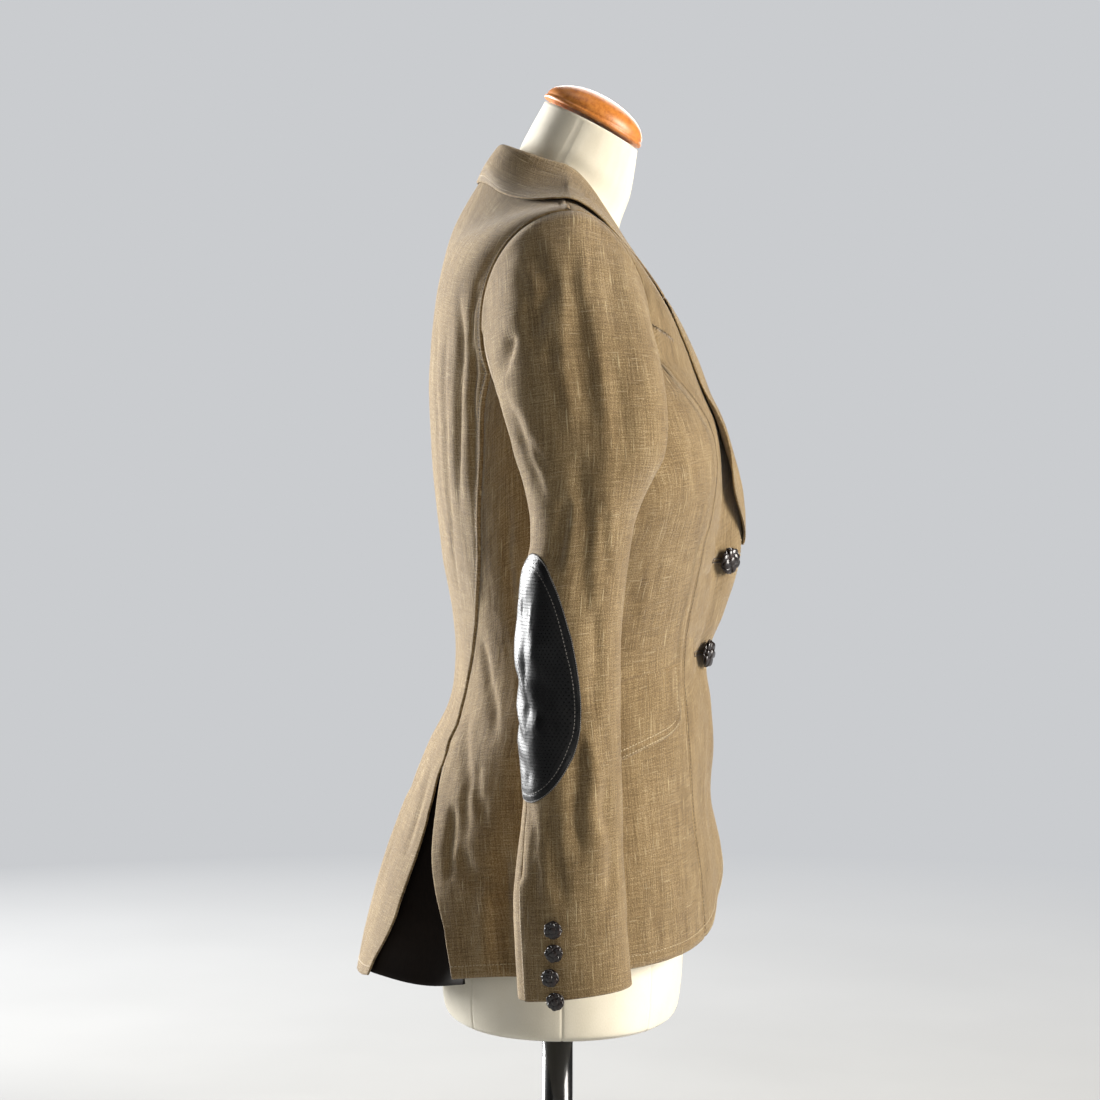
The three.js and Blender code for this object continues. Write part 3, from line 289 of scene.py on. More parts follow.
# Folds of the fronts by front view place (x, z).
FRONT_FOLDS = [
    ([(22, 352), (44, 372), (70, 388)], 7, 6, 2.2),
    ([(24, 346), (52, 340), (84, 346)], 7, 5, 1.8),
    ([(24, 276), (52, 284), (80, 302)], 7, 6, 1.8),
    ([(26, 270), (56, 258), (86, 258)], 7, 6, 1.4),
    ([(30, 330), (38, 310), (34, 290)], 8, 8, -1.0),
    ([(60, 240), (66, 180), (60, 130)], 12, 12, 1.0),
]


# ---------------------------------------------------------------- the part's surfaces


def unit(vectors):
    return vectors / np.maximum(np.linalg.norm(vectors, axis=-1, keepdims=True), 1e-12)


def smoothstep(share):
    t = np.clip(share, 0, 1)
    return t * t * (3 - 2 * t)


def mix(start, stop, share):
    return start + (stop - start) * share


def section_point(rows, a, s):
    """Points of a body made of sections: a from the centre front (0) to the centre back (1), s its row."""
    a, s = np.broadcast_arrays(np.asarray(a, float), np.asarray(s, float))
    r = {column: smooth(rows, column, s) for column in rows}
    cos, sin = np.cos(np.pi * a), np.sin(np.pi * a)
    is_front = cos > 0
    box = np.where(is_front, r["boxFront"], r["boxBack"])
    x = r["half"] * sin * (1 + box * cos * cos)
    reach = np.where(is_front, r["front"] + r["mid"], r["back"] - r["mid"])
    share = np.where(is_front & (np.abs(x) < PROW_HALF_WIDTH), (1 - (x / PROW_HALF_WIDTH) ** 2) ** 2, 0)
    y = r["mid"] - reach * cos * (1 + box * sin * sin) - r["prow"] * share
    rise = np.where(is_front, r["zFront"], r["zBack"]) - r["zSide"]
    return np.stack([x, y, r["zSide"] + rise * np.abs(cos) ** r["bow"]], -1)


def torso(a, s):
    return section_point(BODY, a, s)


def normal_of(surface, u, v, step=2e-3):
    along_u = surface(u + step, v) - surface(u - step, v)
    along_v = surface(u, v + step) - surface(u, v - step)
    return unit(np.cross(along_u, along_v))


def torso_normal(a, s):
    return normal_of(torso, a, np.minimum(s, NECK_RING - 0.01))


def per_mm(surface, at, row, step=1e-3):
    """How much a surface's first coordinate grows in a millimetre."""
    return 2 * step / np.linalg.norm(surface(at + step, row) - surface(at - step, row), axis=-1)


def torso_at(a, s, lift=0.0):
    return torso(a, s) + torso_normal(a, s) * np.asarray(lift)[..., None]


def solve(rising, low, high, shape=()):
    """Where a rising function crosses zero, for an array of cases."""
    low, high = np.full(shape, float(low)), np.full(shape, float(high))
    for _ in range(30):
        middle = (low + high) / 2
        above = rising(middle) > 0
        low, high = np.where(above, low, middle), np.where(above, middle, high)
    return (low + high) / 2


def torso_where(wanted, guess):
    """The torso's (a, s) where two coordinates of a point are given, by Newton's method."""
    keys = ["xyz".index(key) for key in wanted]
    goal = np.stack(np.broadcast_arrays(*[np.asarray(value, float) for value in wanted.values()]), -1)
    a = np.broadcast_to(guess[0], goal.shape[:-1]).astype(float)
    s = np.broadcast_to(guess[1], goal.shape[:-1]).astype(float)
    step = 1e-3
    for _ in range(40):
        here = torso(a, s)[..., keys] - goal
        by_a = (torso(a + step, s)[..., keys] - goal - here) / step
        by_s = (torso(a, s + step)[..., keys] - goal - here) / step
        det = by_a[..., 0] * by_s[..., 1] - by_a[..., 1] * by_s[..., 0]
        move_a = (here[..., 0] * by_s[..., 1] - here[..., 1] * by_s[..., 0]) / det
        move_s = (here[..., 1] * by_a[..., 0] - here[..., 0] * by_a[..., 1]) / det
        ease = np.minimum(1, np.minimum(0.08 / (np.abs(move_a) + 1e-9), 0.8 / (np.abs(move_s) + 1e-9)))
        a = np.clip(a - move_a * ease, -0.3, 1.3)
        s = np.clip(s - move_s * ease, -0.5, NECK_RING)
    return a, s


S_SAMPLES = np.linspace(-0.5, NECK_RING + 0.05, 620)


def sampled(values):
    return lambda s: np.interp(s, S_SAMPLES, values)


def seam_values(seam, axis="y", low=0.02, high=0.98):
    """For each of S_SAMPLES, the a where the torso meets a line that is given by its y, or its x, by height."""

    def rising(a):
        p = torso(a, S_SAMPLES)
        return p[..., "xyz".index(axis)] - lookup(seam, "z", p[..., 2], axis)

    return solve(rising, low, high, S_SAMPLES.shape)


def back_seam_a(lower_edge):
    """The back seam above the pleat, then the tail's or the side panel's own edge below it."""
    above, below = seam_values(BACK_SEAM), seam_values(lower_edge)
    return sampled(np.where(torso(above, S_SAMPLES)[..., 2] > PLEAT_TOP, above, below))


princess_a = sampled(seam_values(PRINCESS_SEAM))
side_seam_a = sampled(solve(lambda a: torso(a, S_SAMPLES)[..., 1] - SIDE_SEAM_Y, 0.3, 0.7, S_SAMPLES.shape))
front_edge_a = {side: sampled(seam_values(FRONT_EDGE[side], "x", -0.2, 0.5)) for side in SIDES}
tail_edge_a = back_seam_a(TAIL_EDGE)
side_panel_edge_a = back_seam_a(SIDE_PANEL_EDGE)

HEM_A = np.linspace(-0.2, 1.05, 900)
HEM_S = solve(lambda s: torso(HEM_A, s)[..., 2] - lookup(HEM, "a", HEM_A, "z"), -0.5, 5, HEM_A.shape)


def hem_s(a):
    return np.interp(a, HEM_A, HEM_S)


def armhole_shape(is_back):
    half = np.where(is_back, ARMHOLE["back_half"], ARMHOLE["front_half"])
    return half, np.where(is_back, ARMHOLE["back_squareness"], ARMHOLE["front_squareness"])


def armhole_value(p):
    half, n = armhole_shape(p[..., 1] > ARMHOLE["y"])
    across = np.abs(p[..., 1] - ARMHOLE["y"]) / half
    up = np.abs(p[..., 2] - ARMHOLE["z"]) / ARMHOLE["half_height"]
    return across**n + up**n - 1


def armhole_where(v, inset=0.0):
    """The torso's (a, s) on the armhole: v is 0 under the arm, 0.25 in front, 0.5 on the shoulder, 0.75 behind."""
    cos, sin = np.cos(2 * np.pi * v), np.sin(2 * np.pi * v)
    half, squareness = armhole_shape(sin <= 0)
    power = 2 / squareness
    y = ARMHOLE["y"] - (half - inset) * np.sign(sin) * np.abs(sin) ** power
    z = ARMHOLE["z"] - (ARMHOLE["half_height"] - inset) * np.sign(cos) * np.abs(cos) ** power
    return torso_where({"y": y, "z": z}, (0.5 - 0.18 * sin, 12 - 1.5 * cos))


def armhole_v(p):
    half, squareness = armhole_shape(p[..., 1] > ARMHOLE["y"])
    power = squareness / 2
    ahead, under = ARMHOLE["y"] - p[..., 1], ARMHOLE["z"] - p[..., 2]
    forward = np.sign(ahead) * (np.abs(ahead) / half) ** power
    down = np.sign(under) * (np.abs(under) / ARMHOLE["half_height"]) ** power
    return (np.arctan2(forward, down) / (2 * np.pi) + 1) % 1


def armhole_s(a_at, shape=()):
    """The row where a seam running up the torso meets the armhole."""
    return solve(lambda s: -armhole_value(torso(a_at(s), s)), 6, ARMPIT_RING + 1.8, shape)


shoulder_tip_s = solve(lambda s: armhole_value(torso(0.5, s)), ARMPIT_RING + 2, NECK_RING)
princess_top_s = armhole_s(princess_a)
back_seam_top_s = armhole_s(tail_edge_a)


# ---------------------------------------------------------------- relief


def noise(x, y, size, seed):
    """Smooth noise between -1 and 1 with a given size of its cells."""
    cells = 97
    values = np.random.default_rng(seed).uniform(-1, 1, (cells, cells))
    x, y = np.asarray(x) / size, np.asarray(y) / size
    i, j = np.floor(x).astype(int), np.floor(y).astype(int)
    f, g = smoothstep(x - i), smoothstep(y - j)
    at = lambda di, dj: values[(i + di) % cells, (j + dj) % cells]
    return mix(mix(at(0, 0), at(1, 0), f), mix(at(0, 1), at(1, 1), f), g)


def folds(x, z, lines, seed=1, wander=2.5):
    """How far a list of folds draws the cloth in, at places (x, z)."""
    x = x + wander * noise(x, z, 26, seed)
    z = z + wander * noise(x, z, 31, seed + 1)
    total = np.zeros(np.shape(x))
    for points, back_width, front_width, depth in lines:
        points = np.array(points, float)
        steps = points[1:] - points[:-1]
        lengths = np.linalg.norm(steps, axis=1)
        starts = np.concatenate([[0], np.cumsum(lengths)])
        nearest = np.full(np.shape(x), 1e9)
        along = np.zeros(np.shape(x))
        sign = np.ones(np.shape(x))
        for point, step, length, start in zip(points[:-1], steps, lengths, starts):
            dx, dz = x - point[0], z - point[1]
            t = np.clip((dx * step[0] + dz * step[1]) / length**2, 0, 1)
            distance = np.hypot(dx - t * step[0], dz - t * step[1])
            closer = distance < nearest
            nearest = np.where(closer, distance, nearest)
            along = np.where(closer, (start + t * length) / starts[-1], along)
            sign = np.where(closer, np.sign(dz * step[0] - dx * step[1]), sign)
        downwards = points[-1][1] < points[0][1]
        is_back = (sign > 0) == downwards
        width = np.where(is_back, back_width, front_width)
        taper = smoothstep(along / 0.25 + 0.1) * smoothstep((1 - along) / 0.3 + 0.1)
        total += depth * taper * np.exp(-((nearest / width) ** 2))
    return total


def crease_lines(x, z, size, stretch, seed, sharpness):
    """Thin uneven troughs, longer up and down: 1 on a line, 0 away from it."""
    lines = 1 - np.abs(noise(x + 3 * noise(x, z, 21, seed + 1), z / stretch, size, seed))
    return np.clip(lines, 0, 1) ** sharpness


def crumple(x, z, seed, height=0.28):
    """The unevenness of washed linen: soft swells and thin creases, longer along the warp."""
    broad = noise(x, z * 0.45, 17, seed) + 0.5 * noise(x, z * 0.5, 8, seed + 1)
    fine = 0.3 * noise(x, z * 0.6, 3.6, seed + 2)
    where = 0.5 + 0.5 * noise(x, z * 0.7, 46, seed + 3)
    creases = 1.5 * crease_lines(x, z, 15, 4.5, seed + 4, 5) + 0.8 * crease_lines(x, z, 8, 3, seed + 6, 4)
    return height * (broad + fine - creases * where)


# ---------------------------------------------------------------- meshes


def placed(points, side):
    """From the tables' millimetres to the frame's metres, on one side of the body."""
    return (points * [side, 1, 1] + [0, 0, FORM_FOOT]) * MM


def arc(grid, axis):
    """Length along the lines of a grid of points."""
    steps = np.linalg.norm(np.diff(grid, axis=axis), axis=-1)
    start = np.zeros_like(np.take(steps, [0], axis))
    return np.concatenate([start, np.cumsum(steps, axis=axis)], axis)


class Edges:
    """Distances of a grid's points from its four edges: first and last column, first and last row."""

    def __init__(self, grid):
        self.across, self.up = arc(grid, 0), arc(grid, 1)
        self.first, self.last = self.across, self.across[-1:] - self.across
        self.bottom, self.top = self.up, self.up[:, -1:] - self.up


def seam_roll(distance, depth=0.9, width=1.7):
    return -depth * np.exp(-((distance / width) ** 2))


def seam_ridge(distance, height=1.1, width=3.4):
    """A seam whose allowances lie under this piece: a raised band that ends sharply at the seam."""
    return height * smoothstep(1.6 - distance / width) - 1.2 * np.exp(-((distance / 0.7) ** 2))


def stitch_channel(distance, at, depth=0.35, width=1.1):
    return -depth * np.exp(-(((distance - at) / width) ** 2))


def perimeter(n, m):
    """The grid's border as pairs of indices, in order."""
    sides = [(i, 0) for i in range(n - 1)] + [(n - 1, j) for j in range(m - 1)]
    return sides + [(i, m - 1) for i in range(n - 1, 0, -1)] + [(0, j) for j in range(m - 1, 0, -1)]


def make_object(name, verts, faces, uvs=None, face_materials=None, materials=()):
    mesh = bpy.data.meshes.new(name)
    mesh.from_pydata(np.asarray(verts).tolist(), [], [list(face) for face in faces])
    mesh.polygons.foreach_set("use_smooth", np.ones(len(mesh.polygons), bool))
    for material in materials:
        mesh.materials.append(material)
    if face_materials is not None:
        mesh.polygons.foreach_set("material_index", np.asarray(face_materials, np.int32))
    if uvs is not None:
        loops = np.empty(len(mesh.loops), np.int32)
        mesh.loops.foreach_get("vertex_index", loops)
        mesh.uv_layers.new(name="cloth").data.foreach_set("uv", np.asarray(uvs)[loops].ravel())
    mesh.validate()
    mesh.update()
    piece = bpy.data.objects.new(name, mesh)
    bpy.context.scene.collection.objects.link(piece)
    return piece


def wall_arrays(outer, inner, normals):
    """Vertices and quads of a wall between two grids, with a rounded edge. Faces are outer, inner, edge."""
    n, m = outer.shape[:2]
    index = np.arange(n * m).reshape(n, m)
    quads = np.stack([index[:-1, :-1], index[1:, :-1], index[1:, 1:], index[:-1, 1:]], -1).reshape(-1, 4)
    border = np.array(perimeter(n, m))
    outward = np.zeros_like(outer)
    outward[0] += unit(outer[0] - outer[1])
    outward[-1] += unit(outer[-1] - outer[-2])
    outward[:, 0] += unit(outer[:, 0] - outer[:, 1])
    outward[:, -1] += unit(outer[:, -1] - outer[:, -2])
    rim_at = (border[:, 0], border[:, 1])
    thickness = np.linalg.norm(outer[rim_at] - inner[rim_at], axis=-1, keepdims=True)
    rim = (outer[rim_at] + inner[rim_at]) / 2 + unit(outward[rim_at]) * thickness * 0.4
    ring = index[rim_at]
    next_ring = np.roll(ring, -1)
    rim_index = 2 * n * m + np.arange(len(ring))
    next_rim = np.roll(rim_index, -1)
    upper = np.stack([ring, rim_index, next_rim, next_ring], -1)
    lower = np.stack([rim_index, ring + n * m, next_ring + n * m, next_rim], -1)
    faces = np.concatenate([quads, quads[:, ::-1] + n * m, upper, lower])
    middle = (slice(n // 4, 3 * n // 4 + 1), slice(m // 4, 3 * m // 4 + 1))
    facing = np.cross(np.gradient(outer, axis=0), np.gradient(outer, axis=1))
    if np.sum((facing * normals)[middle]) < 0:
        faces = faces[:, ::-1]
    verts = np.concatenate([outer.reshape(-1, 3), inner.reshape(-1, 3), rim])
    kinds = np.repeat([0, 1, 2], [len(quads), len(quads), 2 * len(ring)])
    return verts, faces, kinds, ring


UV_STEP = np.array([0.317, 0.731])  # each piece is cut from another place of the cloth
cloths = {}


def dress(piece, node):
    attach(piece, "root")
    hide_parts(node)


class Cloth:
    """A sheet of cloth as a grid: outer face, normals and edge distances in millimetres, before it is placed."""

    def __init__(self, points, normals, thickness=SHELL):
        self.points, self.normals, self.thickness = points, normals, thickness
        self.edges = Edges(points)
        self.lift = np.zeros(points.shape[:2])

    def add(self, lift):
        self.lift = self.lift + lift
        return self

    def outer(self, side, extra=0.0):
        return placed(self.points + self.normals * (self.lift + extra)[..., None], side)

    def make(self, name, side, facing=None, outside=None, slot="linen", beside=0):
        """The object for a node; facing is true where the inner face shows the linen and not the near-black lining,
        whose colour is painted shade.

        beside is 1 for a piece that is cut from the same place of the cloth as the piece before it.
        """
        self.side = side
        verts, faces, kinds, ring = wall_arrays(
            self.outer(side), self.outer(side, -self.thickness), self.normals * [side, 1, 1]
        )
        uv = np.stack([self.edges.across - self.edges.across[-1:] / 2, self.edges.up], -1).reshape(-1, 2) * MM
        uv = uv + UV_STEP * (len(cloths) - beside)
        uvs = np.concatenate([uv, uv, uv[ring]])
        ids = np.zeros(len(faces), int)
        materials = [outside or LINEN]
        if facing is not None:
            materials.append(SHADED_LINING)
            ids[kinds == 1] = np.where(facing[:-1, :-1].reshape(-1), 0, 1)
        dress(make_object(name + "_cloth", verts, faces, uvs, ids, materials), name)
        cloths[name] = self

    def line(self, edge, distance, start=0.0, stop=1.0, lift=0.1):
        """Points and normals of a line at a distance inside one edge, placed."""
        outer, normals = self.outer(self.side, lift), self.normals * [self.side, 1, 1]
        reach = getattr(self.edges, edge)
        if edge in ("bottom", "top"):
            outer, normals, reach = outer.transpose(1, 0, 2), normals.transpose(1, 0, 2), reach.T
        if edge in ("last", "top"):
            outer, normals, reach = outer[::-1], normals[::-1], reach[::-1]
        columns = reach.shape[1]
        chosen = range(int(start * (columns - 1)), int(stop * (columns - 1)) + 1)
        at = lambda values, j: np.array([np.interp(distance, reach[:, j], values[:, j, k]) for k in range(3)])
        return np.array([at(outer, j) for j in chosen]), np.array([at(normals, j) for j in chosen])


def grid_of(us, vs):
    return np.meshgrid(us, vs, indexing="ij")


def spaced(start, *spans):
    """Numbers from a start through spans, each given as its end and its count of numbers with both ends."""
    parts = [[start]]
    for end, count in spans:
        parts.append(np.linspace(parts[-1][-1], end, count)[1:])
    return np.concatenate(parts)


# ---------------------------------------------------------------- materials


def rgb(red, green, blue):
    """A colour given as it shows on a screen, 0 to 255."""
    return tuple((c / 255 / 12.92) if c <= 10 else ((c / 255 + 0.055) / 1.055) ** 2.4 for c in (red, green, blue))


class Nodes:
    """A material's node tree, made with few words, by places in metres: the cloth's own, or the frame's."""

    def __init__(self, name, on_cloth=False):
        self.material = bpy.data.materials.new(name)
        self.material.use_nodes = True
        self.tree = self.material.node_tree
        self.shader = self.tree.nodes["Principled BSDF"]
        if on_cloth:
            self.place = self.node("ShaderNodeUVMap", {"uv_map": "cloth"}).outputs[0]
        else:
            self.place = self.node("ShaderNodeTexCoord").outputs["Object"]

    def node(self, kind, settings=None, **inputs):
        """A node with its settings; an input is given by its name, or by its number as _0."""
        made = self.tree.nodes.new(kind)
        for key, value in (settings or {}).items():
            setattr(made, key, value)
        for key, value in inputs.items():
            self.feed(made.inputs[int(key[1:])] if key[0] == "_" else made.inputs[key.replace("_", " ")], value)
        return made

    def feed(self, socket, value):
        if isinstance(value, bpy.types.NodeSocket):
            self.tree.links.new(value, socket)
        else:
            socket.default_value = value

    def math(self, operation, a, b=0.0, c=0.0):
        return self.node("ShaderNodeMath", {"operation": operation}, _0=a, _1=b, _2=c).outputs[0]

    def weighted(self, *terms, base=0.0):
        """A base and the sum of terms, each given as (value, weight)."""
        for value, weight in terms:
            base = self.math("MULTIPLY_ADD", value, weight, base)
        return base

    def stretched(self, scale):
        scale = scale if isinstance(scale, tuple) else (scale, scale, scale)
        return self.node("ShaderNodeMapping", _0=self.place, _3=scale).outputs[0]

    def noise(self, scale, detail, roughness=0.5):
        at = self.stretched(scale)
        made = self.node("ShaderNodeTexNoise", Vector=at, Scale=1.0, Detail=detail, Roughness=roughness)
        return made.outputs["Fac"]

    def ramp(self, value, *stops):
        made = self.node("ShaderNodeValToRGB", _0=value)
        elements = made.color_ramp.elements
        while len(elements) < len(stops):
            elements.new(0.5)
        for element, (position, color) in zip(elements, stops):
            element.position = position
            element.color = (*color, 1)
        return made.outputs[0]

    def mix(self, share, a, b):
        return self.node("ShaderNodeMix", {"data_type": "RGBA"}, _0=share, _6=a, _7=b).outputs[2]

    def finish(self, relief=None, **settings):
        """The material with the shader's settings; a relief is given as (height, distance, strength)."""
        if relief:
            height, distance, strength = relief
            bump = self.node("ShaderNodeBump", Strength=strength, Distance=distance, Height=height)
            settings["Normal"] = bump.outputs[0]
        for key, value in settings.items():
            self.feed(self.shader.inputs[key.replace("_", " ")], value)
        return self.material


BLACK, WHITE = (0, 0, 0), (1, 1, 1)
THREAD_PITCH = 0.0011
SLUB = dict(color=rgb(206, 186, 146), warp_share=0.55, weft_share=0.42)


def linen_material():
    n = Nodes("linen", on_cloth=True)
    apart = n.node("ShaderNodeSeparateXYZ", _0=n.place)
    wander, turn = n.noise((90, 90, 1), 2), 2 * math.pi / THREAD_PITCH
    warp = n.math("SINE", n.weighted((apart.outputs[0], turn), (wander, 12)))
    weft = n.math("SINE", n.weighted((apart.outputs[1], turn), (wander, 10)))
    weave = n.math("MULTIPLY", warp, weft)
    gaps = n.math("MAXIMUM", n.weighted((warp, -1)), n.weighted((weft, -1)))
    streaks, picks = n.noise((900, 26, 1), 3, 0.65), n.noise((42, 950, 1), 3, 0.65)
    nap, blotch = n.noise((1050, 900, 1), 2, 0.75), n.noise((46, 15, 1), 3, 0.6)
    yarn = n.weighted((streaks, 0.55), (picks, 0.45))
    color = n.ramp(
        n.weighted((yarn, 0.48), (nap, 0.38), (blotch, 0.14), (gaps, -0.028)),
        (0.33, rgb(74, 55, 32)), (0.42, rgb(112, 90, 58)), (0.52, rgb(150, 126, 88)), (0.62, rgb(196, 174, 134)),
    )
    light_warp = n.ramp(n.noise((760, 46, 1), 1, 0.4), (0.66, BLACK), (0.74, WHITE))
    light_weft = n.ramp(n.noise((66, 820, 1), 1, 0.4), (0.67, BLACK), (0.75, WHITE))
    color = n.mix(n.weighted((light_warp, SLUB["warp_share"])), color, (*SLUB["color"], 1))
    color = n.mix(n.weighted((light_weft, SLUB["weft_share"])), color, (*SLUB["color"], 1))
    height = n.weighted((weave, 0.35), (yarn, 1.5), (light_warp, 0.5), (light_weft, 0.5), (nap, 0.7))
    return n.finish((height, 0.0006, 0.85), Base_Color=color, Roughness=n.weighted((nap, 0.15), base=0.85),
                    Sheen_Weight=0.35, Sheen_Roughness=0.45, Specular_IOR_Level=0.12)


# Near-black painted shade: the pleats' underlay is the same tan linen in deep shade, and the jacket's inner faces
# take this colour too.
def shaded_lining_material():
    n = Nodes("lining_painted_shade", on_cloth=True)
    fine, broad = n.noise((900, 120, 1), 3, 0.6), n.noise((30, 12, 1), 3)
    color = n.ramp(n.weighted((fine, 0.6), (broad, 0.4)), (0.3, rgb(12, 7, 4)), (0.7, rgb(27, 18, 11)))
    return n.finish((fine, 0.0002, 0.5), Base_Color=color, Roughness=0.7, Specular_IOR_Level=0.12)


def leather_material():
    n = Nodes("perforated_leather", on_cloth=True)
    cells = n.node("ShaderNodeTexVoronoi", {"feature": "F1"}, Vector=n.stretched((1100, 1100, 1)), Scale=1.0)
    pores, broad = n.noise((2600, 2600, 1), 3, 0.6), n.noise((70, 40, 1), 3, 0.55)
    grain = n.weighted((cells.outputs["Distance"], 0.7), (pores, 0.3))
    color = n.ramp(broad, (0.3, rgb(5, 5, 5)), (0.75, rgb(12, 12, 12)))
    return n.finish((grain, 0.00025, 0.6), Base_Color=color, Roughness=n.weighted((grain, 0.16), base=0.4),
                    Specular_IOR_Level=0.26, Coat_Weight=0.03, Coat_Roughness=0.35)


def edge_material():
    n = Nodes("leather_edge")
    fine = n.noise(700, 3, 0.6)
    color = n.ramp(fine, (0.35, rgb(96, 92, 88)), (0.7, rgb(170, 165, 158)))
    return n.finish((fine, 0.0002, 0.5), Base_Color=color, Roughness=0.6)


def thread_material(name, dark, light):
    n = Nodes(name)
    fine = n.noise(1800, 2, 0.6)
    color = n.ramp(fine, (0.3, rgb(*dark)), (0.7, rgb(*light)))
    return n.finish((fine, 0.0002, 0.6), Base_Color=color, Roughness=0.6, Sheen_Weight=0.3)


def button_material():
    n = Nodes("button_knot")
    fine, broad = n.noise(900, 4, 0.6), n.noise(160, 3, 0.6)
    color = n.ramp(broad, (0.3, rgb(14, 8, 7)), (0.62, rgb(30, 17, 13)), (0.8, rgb(52, 29, 19)))
    return n.finish((fine, 0.0002, 0.35), Base_Color=color, Roughness=n.weighted((fine, 0.2), base=0.2),
                    Specular_IOR_Level=0.5, Coat_Weight=0.35, Coat_Roughness=0.16)


def form_material():
    n = Nodes("form_jersey", on_cloth=True)
    wale = n.node("ShaderNodeTexWave", {"wave_type": "BANDS", "bands_direction": "X"},
                  Vector=n.place, Scale=320.0, Distortion=1.5, Detail=2.0).outputs["Fac"]
    fine, broad = n.noise((900, 600, 1), 3, 0.6), n.noise((9, 7, 1), 4, 0.6)
    color = n.ramp(n.weighted((broad, 0.75), (fine, 0.25)),
                   (0.3, rgb(212, 202, 178)), (0.55, rgb(230, 222, 202)), (0.8, rgb(238, 232, 216)))
    return n.finish((n.weighted((wale, 0.5), (fine, 1)), 0.0002, 0.5), Base_Color=color, Roughness=0.82,
                    Sheen_Weight=0.3, Sheen_Roughness=0.5, Specular_IOR_Level=0.3)


def wood_material():
    n = Nodes("varnished_beech")
    grain, flecks = n.noise((30, 260, 260), 4, 0.6), n.noise((160, 900, 900), 2)
    color = n.ramp(n.weighted((grain, 0.7), (flecks, 0.3)),
                   (0.3, rgb(158, 84, 24)), (0.5, rgb(196, 118, 44)), (0.72, rgb(216, 142, 66)))
    return n.finish((flecks, 0.0002, 0.2), Base_Color=color, Roughness=n.weighted((flecks, 0.12), base=0.36),
                    Coat_Weight=0.22, Coat_Roughness=0.36)


def steel_material():
    n = Nodes("black_gloss_paint")
    fine, scuff = n.noise(260, 4, 0.6), n.noise((40, 40, 700), 4, 0.7)
    color = n.ramp(scuff, (0.35, rgb(13, 13, 14)), (0.8, rgb(34, 34, 36)))
    return n.finish((fine, 0.0003, 0.12), Base_Color=color, Roughness=n.weighted((fine, 0.14), base=0.16),
                    Coat_Weight=0.5, Coat_Roughness=0.08)


BACKDROP = rgb(202, 204, 207)
FLOOR_FADE = (0.4, 2.0)
FLOOR_REACH = 8.0


def floor_material():
    """Pale near the object, and the world's own tone far from it, so that no horizon shows."""
    n = Nodes("studio_floor")
    color = n.ramp(n.noise(3, 3), (0.3, rgb(150, 150, 149)), (0.7, rgb(155, 155, 154)))
    reach = n.node("ShaderNodeVectorMath", {"operation": "LENGTH"}, _0=n.place).outputs["Value"]
    near, far = [distance / FLOOR_REACH for distance in FLOOR_FADE]
    share = n.ramp(n.math("DIVIDE", reach, FLOOR_REACH), (near, BLACK), (far, WHITE))
    glow = n.node("ShaderNodeEmission", Color=(*BACKDROP, 1), Strength=1.0)
    joined = n.node("ShaderNodeMixShader", _0=share, _1=n.shader.outputs[0], _2=glow.outputs[0])
    n.feed(n.tree.nodes["Material Output"].inputs["Surface"], joined.outputs[0])
    return n.finish(Base_Color=color, Roughness=0.95, Specular_IOR_Level=0.05)


LINEN = linen_material()
SHADED_LINING = shaded_lining_material()
LEATHER_BLACK = leather_material()
LEATHER_EDGE = edge_material()
THREAD = thread_material("thread_tan", (150, 128, 92), (214, 196, 158))
THREAD_LIGHT = thread_material("thread_straw", (186, 166, 126), (232, 218, 186))
THREAD_DARK = thread_material("thread_brown", (48, 35, 20), (84, 64, 40))
THREAD_GREY = thread_material("thread_grey", (70, 66, 62), (148, 142, 134))
BUTTON = button_material()
FORM = form_material()
WOOD = wood_material()
STEEL = steel_material()


# ---------------------------------------------------------------- stitches


def stitch_arrays(points, normals, pitch, length, radius, sides=5):
    """Short arched threads along a line of points: vertices and triangles."""
    steps = np.linalg.norm(np.diff(points, axis=0), axis=1)
    run = np.concatenate([[0], np.cumsum(steps)])
    count = max(int(run[-1] / pitch), 1)
    centres = (np.arange(count) + 0.5) * run[-1] / count
    at = lambda values, where: np.stack([np.interp(where, run, values[:, k]) for k in range(3)], -1)
    forward = unit(at(points, centres + length / 2) - at(points, centres - length / 2) + 1e-12)
    up = unit(at(normals, centres))
    aside = unit(np.cross(forward, up))
    middle = at(points, centres)
    rings = [(-0.5, -0.9, 0.35), (-0.3, 0.25, 1), (0.3, 0.25, 1), (0.5, -0.9, 0.35)]
    angles = np.arange(sides) * 2 * np.pi / sides
    verts = []
    for share, height, wide in rings:
        for angle in angles:
            offset = aside * (math.cos(angle) * radius * wide) + up * (math.sin(angle) * radius * wide * 0.8)
            verts.append(middle + forward * (share * length) + up * (height * radius) + offset)
    verts = np.stack(verts, 1)
    faces = []
    for ring in range(len(rings) - 1):
        for k in range(sides):
            a, b = ring * sides + k, ring * sides + (k + 1) % sides
            faces.append([a, b, b + sides, a + sides])
    faces = np.array(faces)
    all_faces = (faces[None] + (np.arange(count) * verts.shape[1])[:, None, None]).reshape(-1, 4)
    return verts.reshape(-1, 3), all_faces


def stitches(name, lines, material, slot="linen", pitch=3.0, length=2.3, radius=0.32):
    """One object with the stitches along several lines, each a pair of points and normals."""
    verts, faces, base = [], [], 0
    for points, normals in lines:
        v, f = stitch_arrays(points, normals, pitch * MM, length * MM, radius * MM)
        verts.append(v)
        faces.append(f + base)
        base += len(v)
    piece = make_object(name, np.concatenate(verts), np.concatenate(faces), materials=[material])
    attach(piece, "root")


# ---------------------------------------------------------------- fronts, sides and back


def underlap_lift(side, p):
    if side == RIGHT:
        return np.zeros(p.shape[:-1])
    across = smoothstep((UNDERLAP["stop"] - p[..., 0]) / (UNDERLAP["stop"] - UNDERLAP["start"]))
    up = smoothstep((UNDERLAP["fade_high"] - p[..., 2]) / (UNDERLAP["fade_high"] - UNDERLAP["fade_low"]))
    return -UNDERLAP["drop"] * across * up


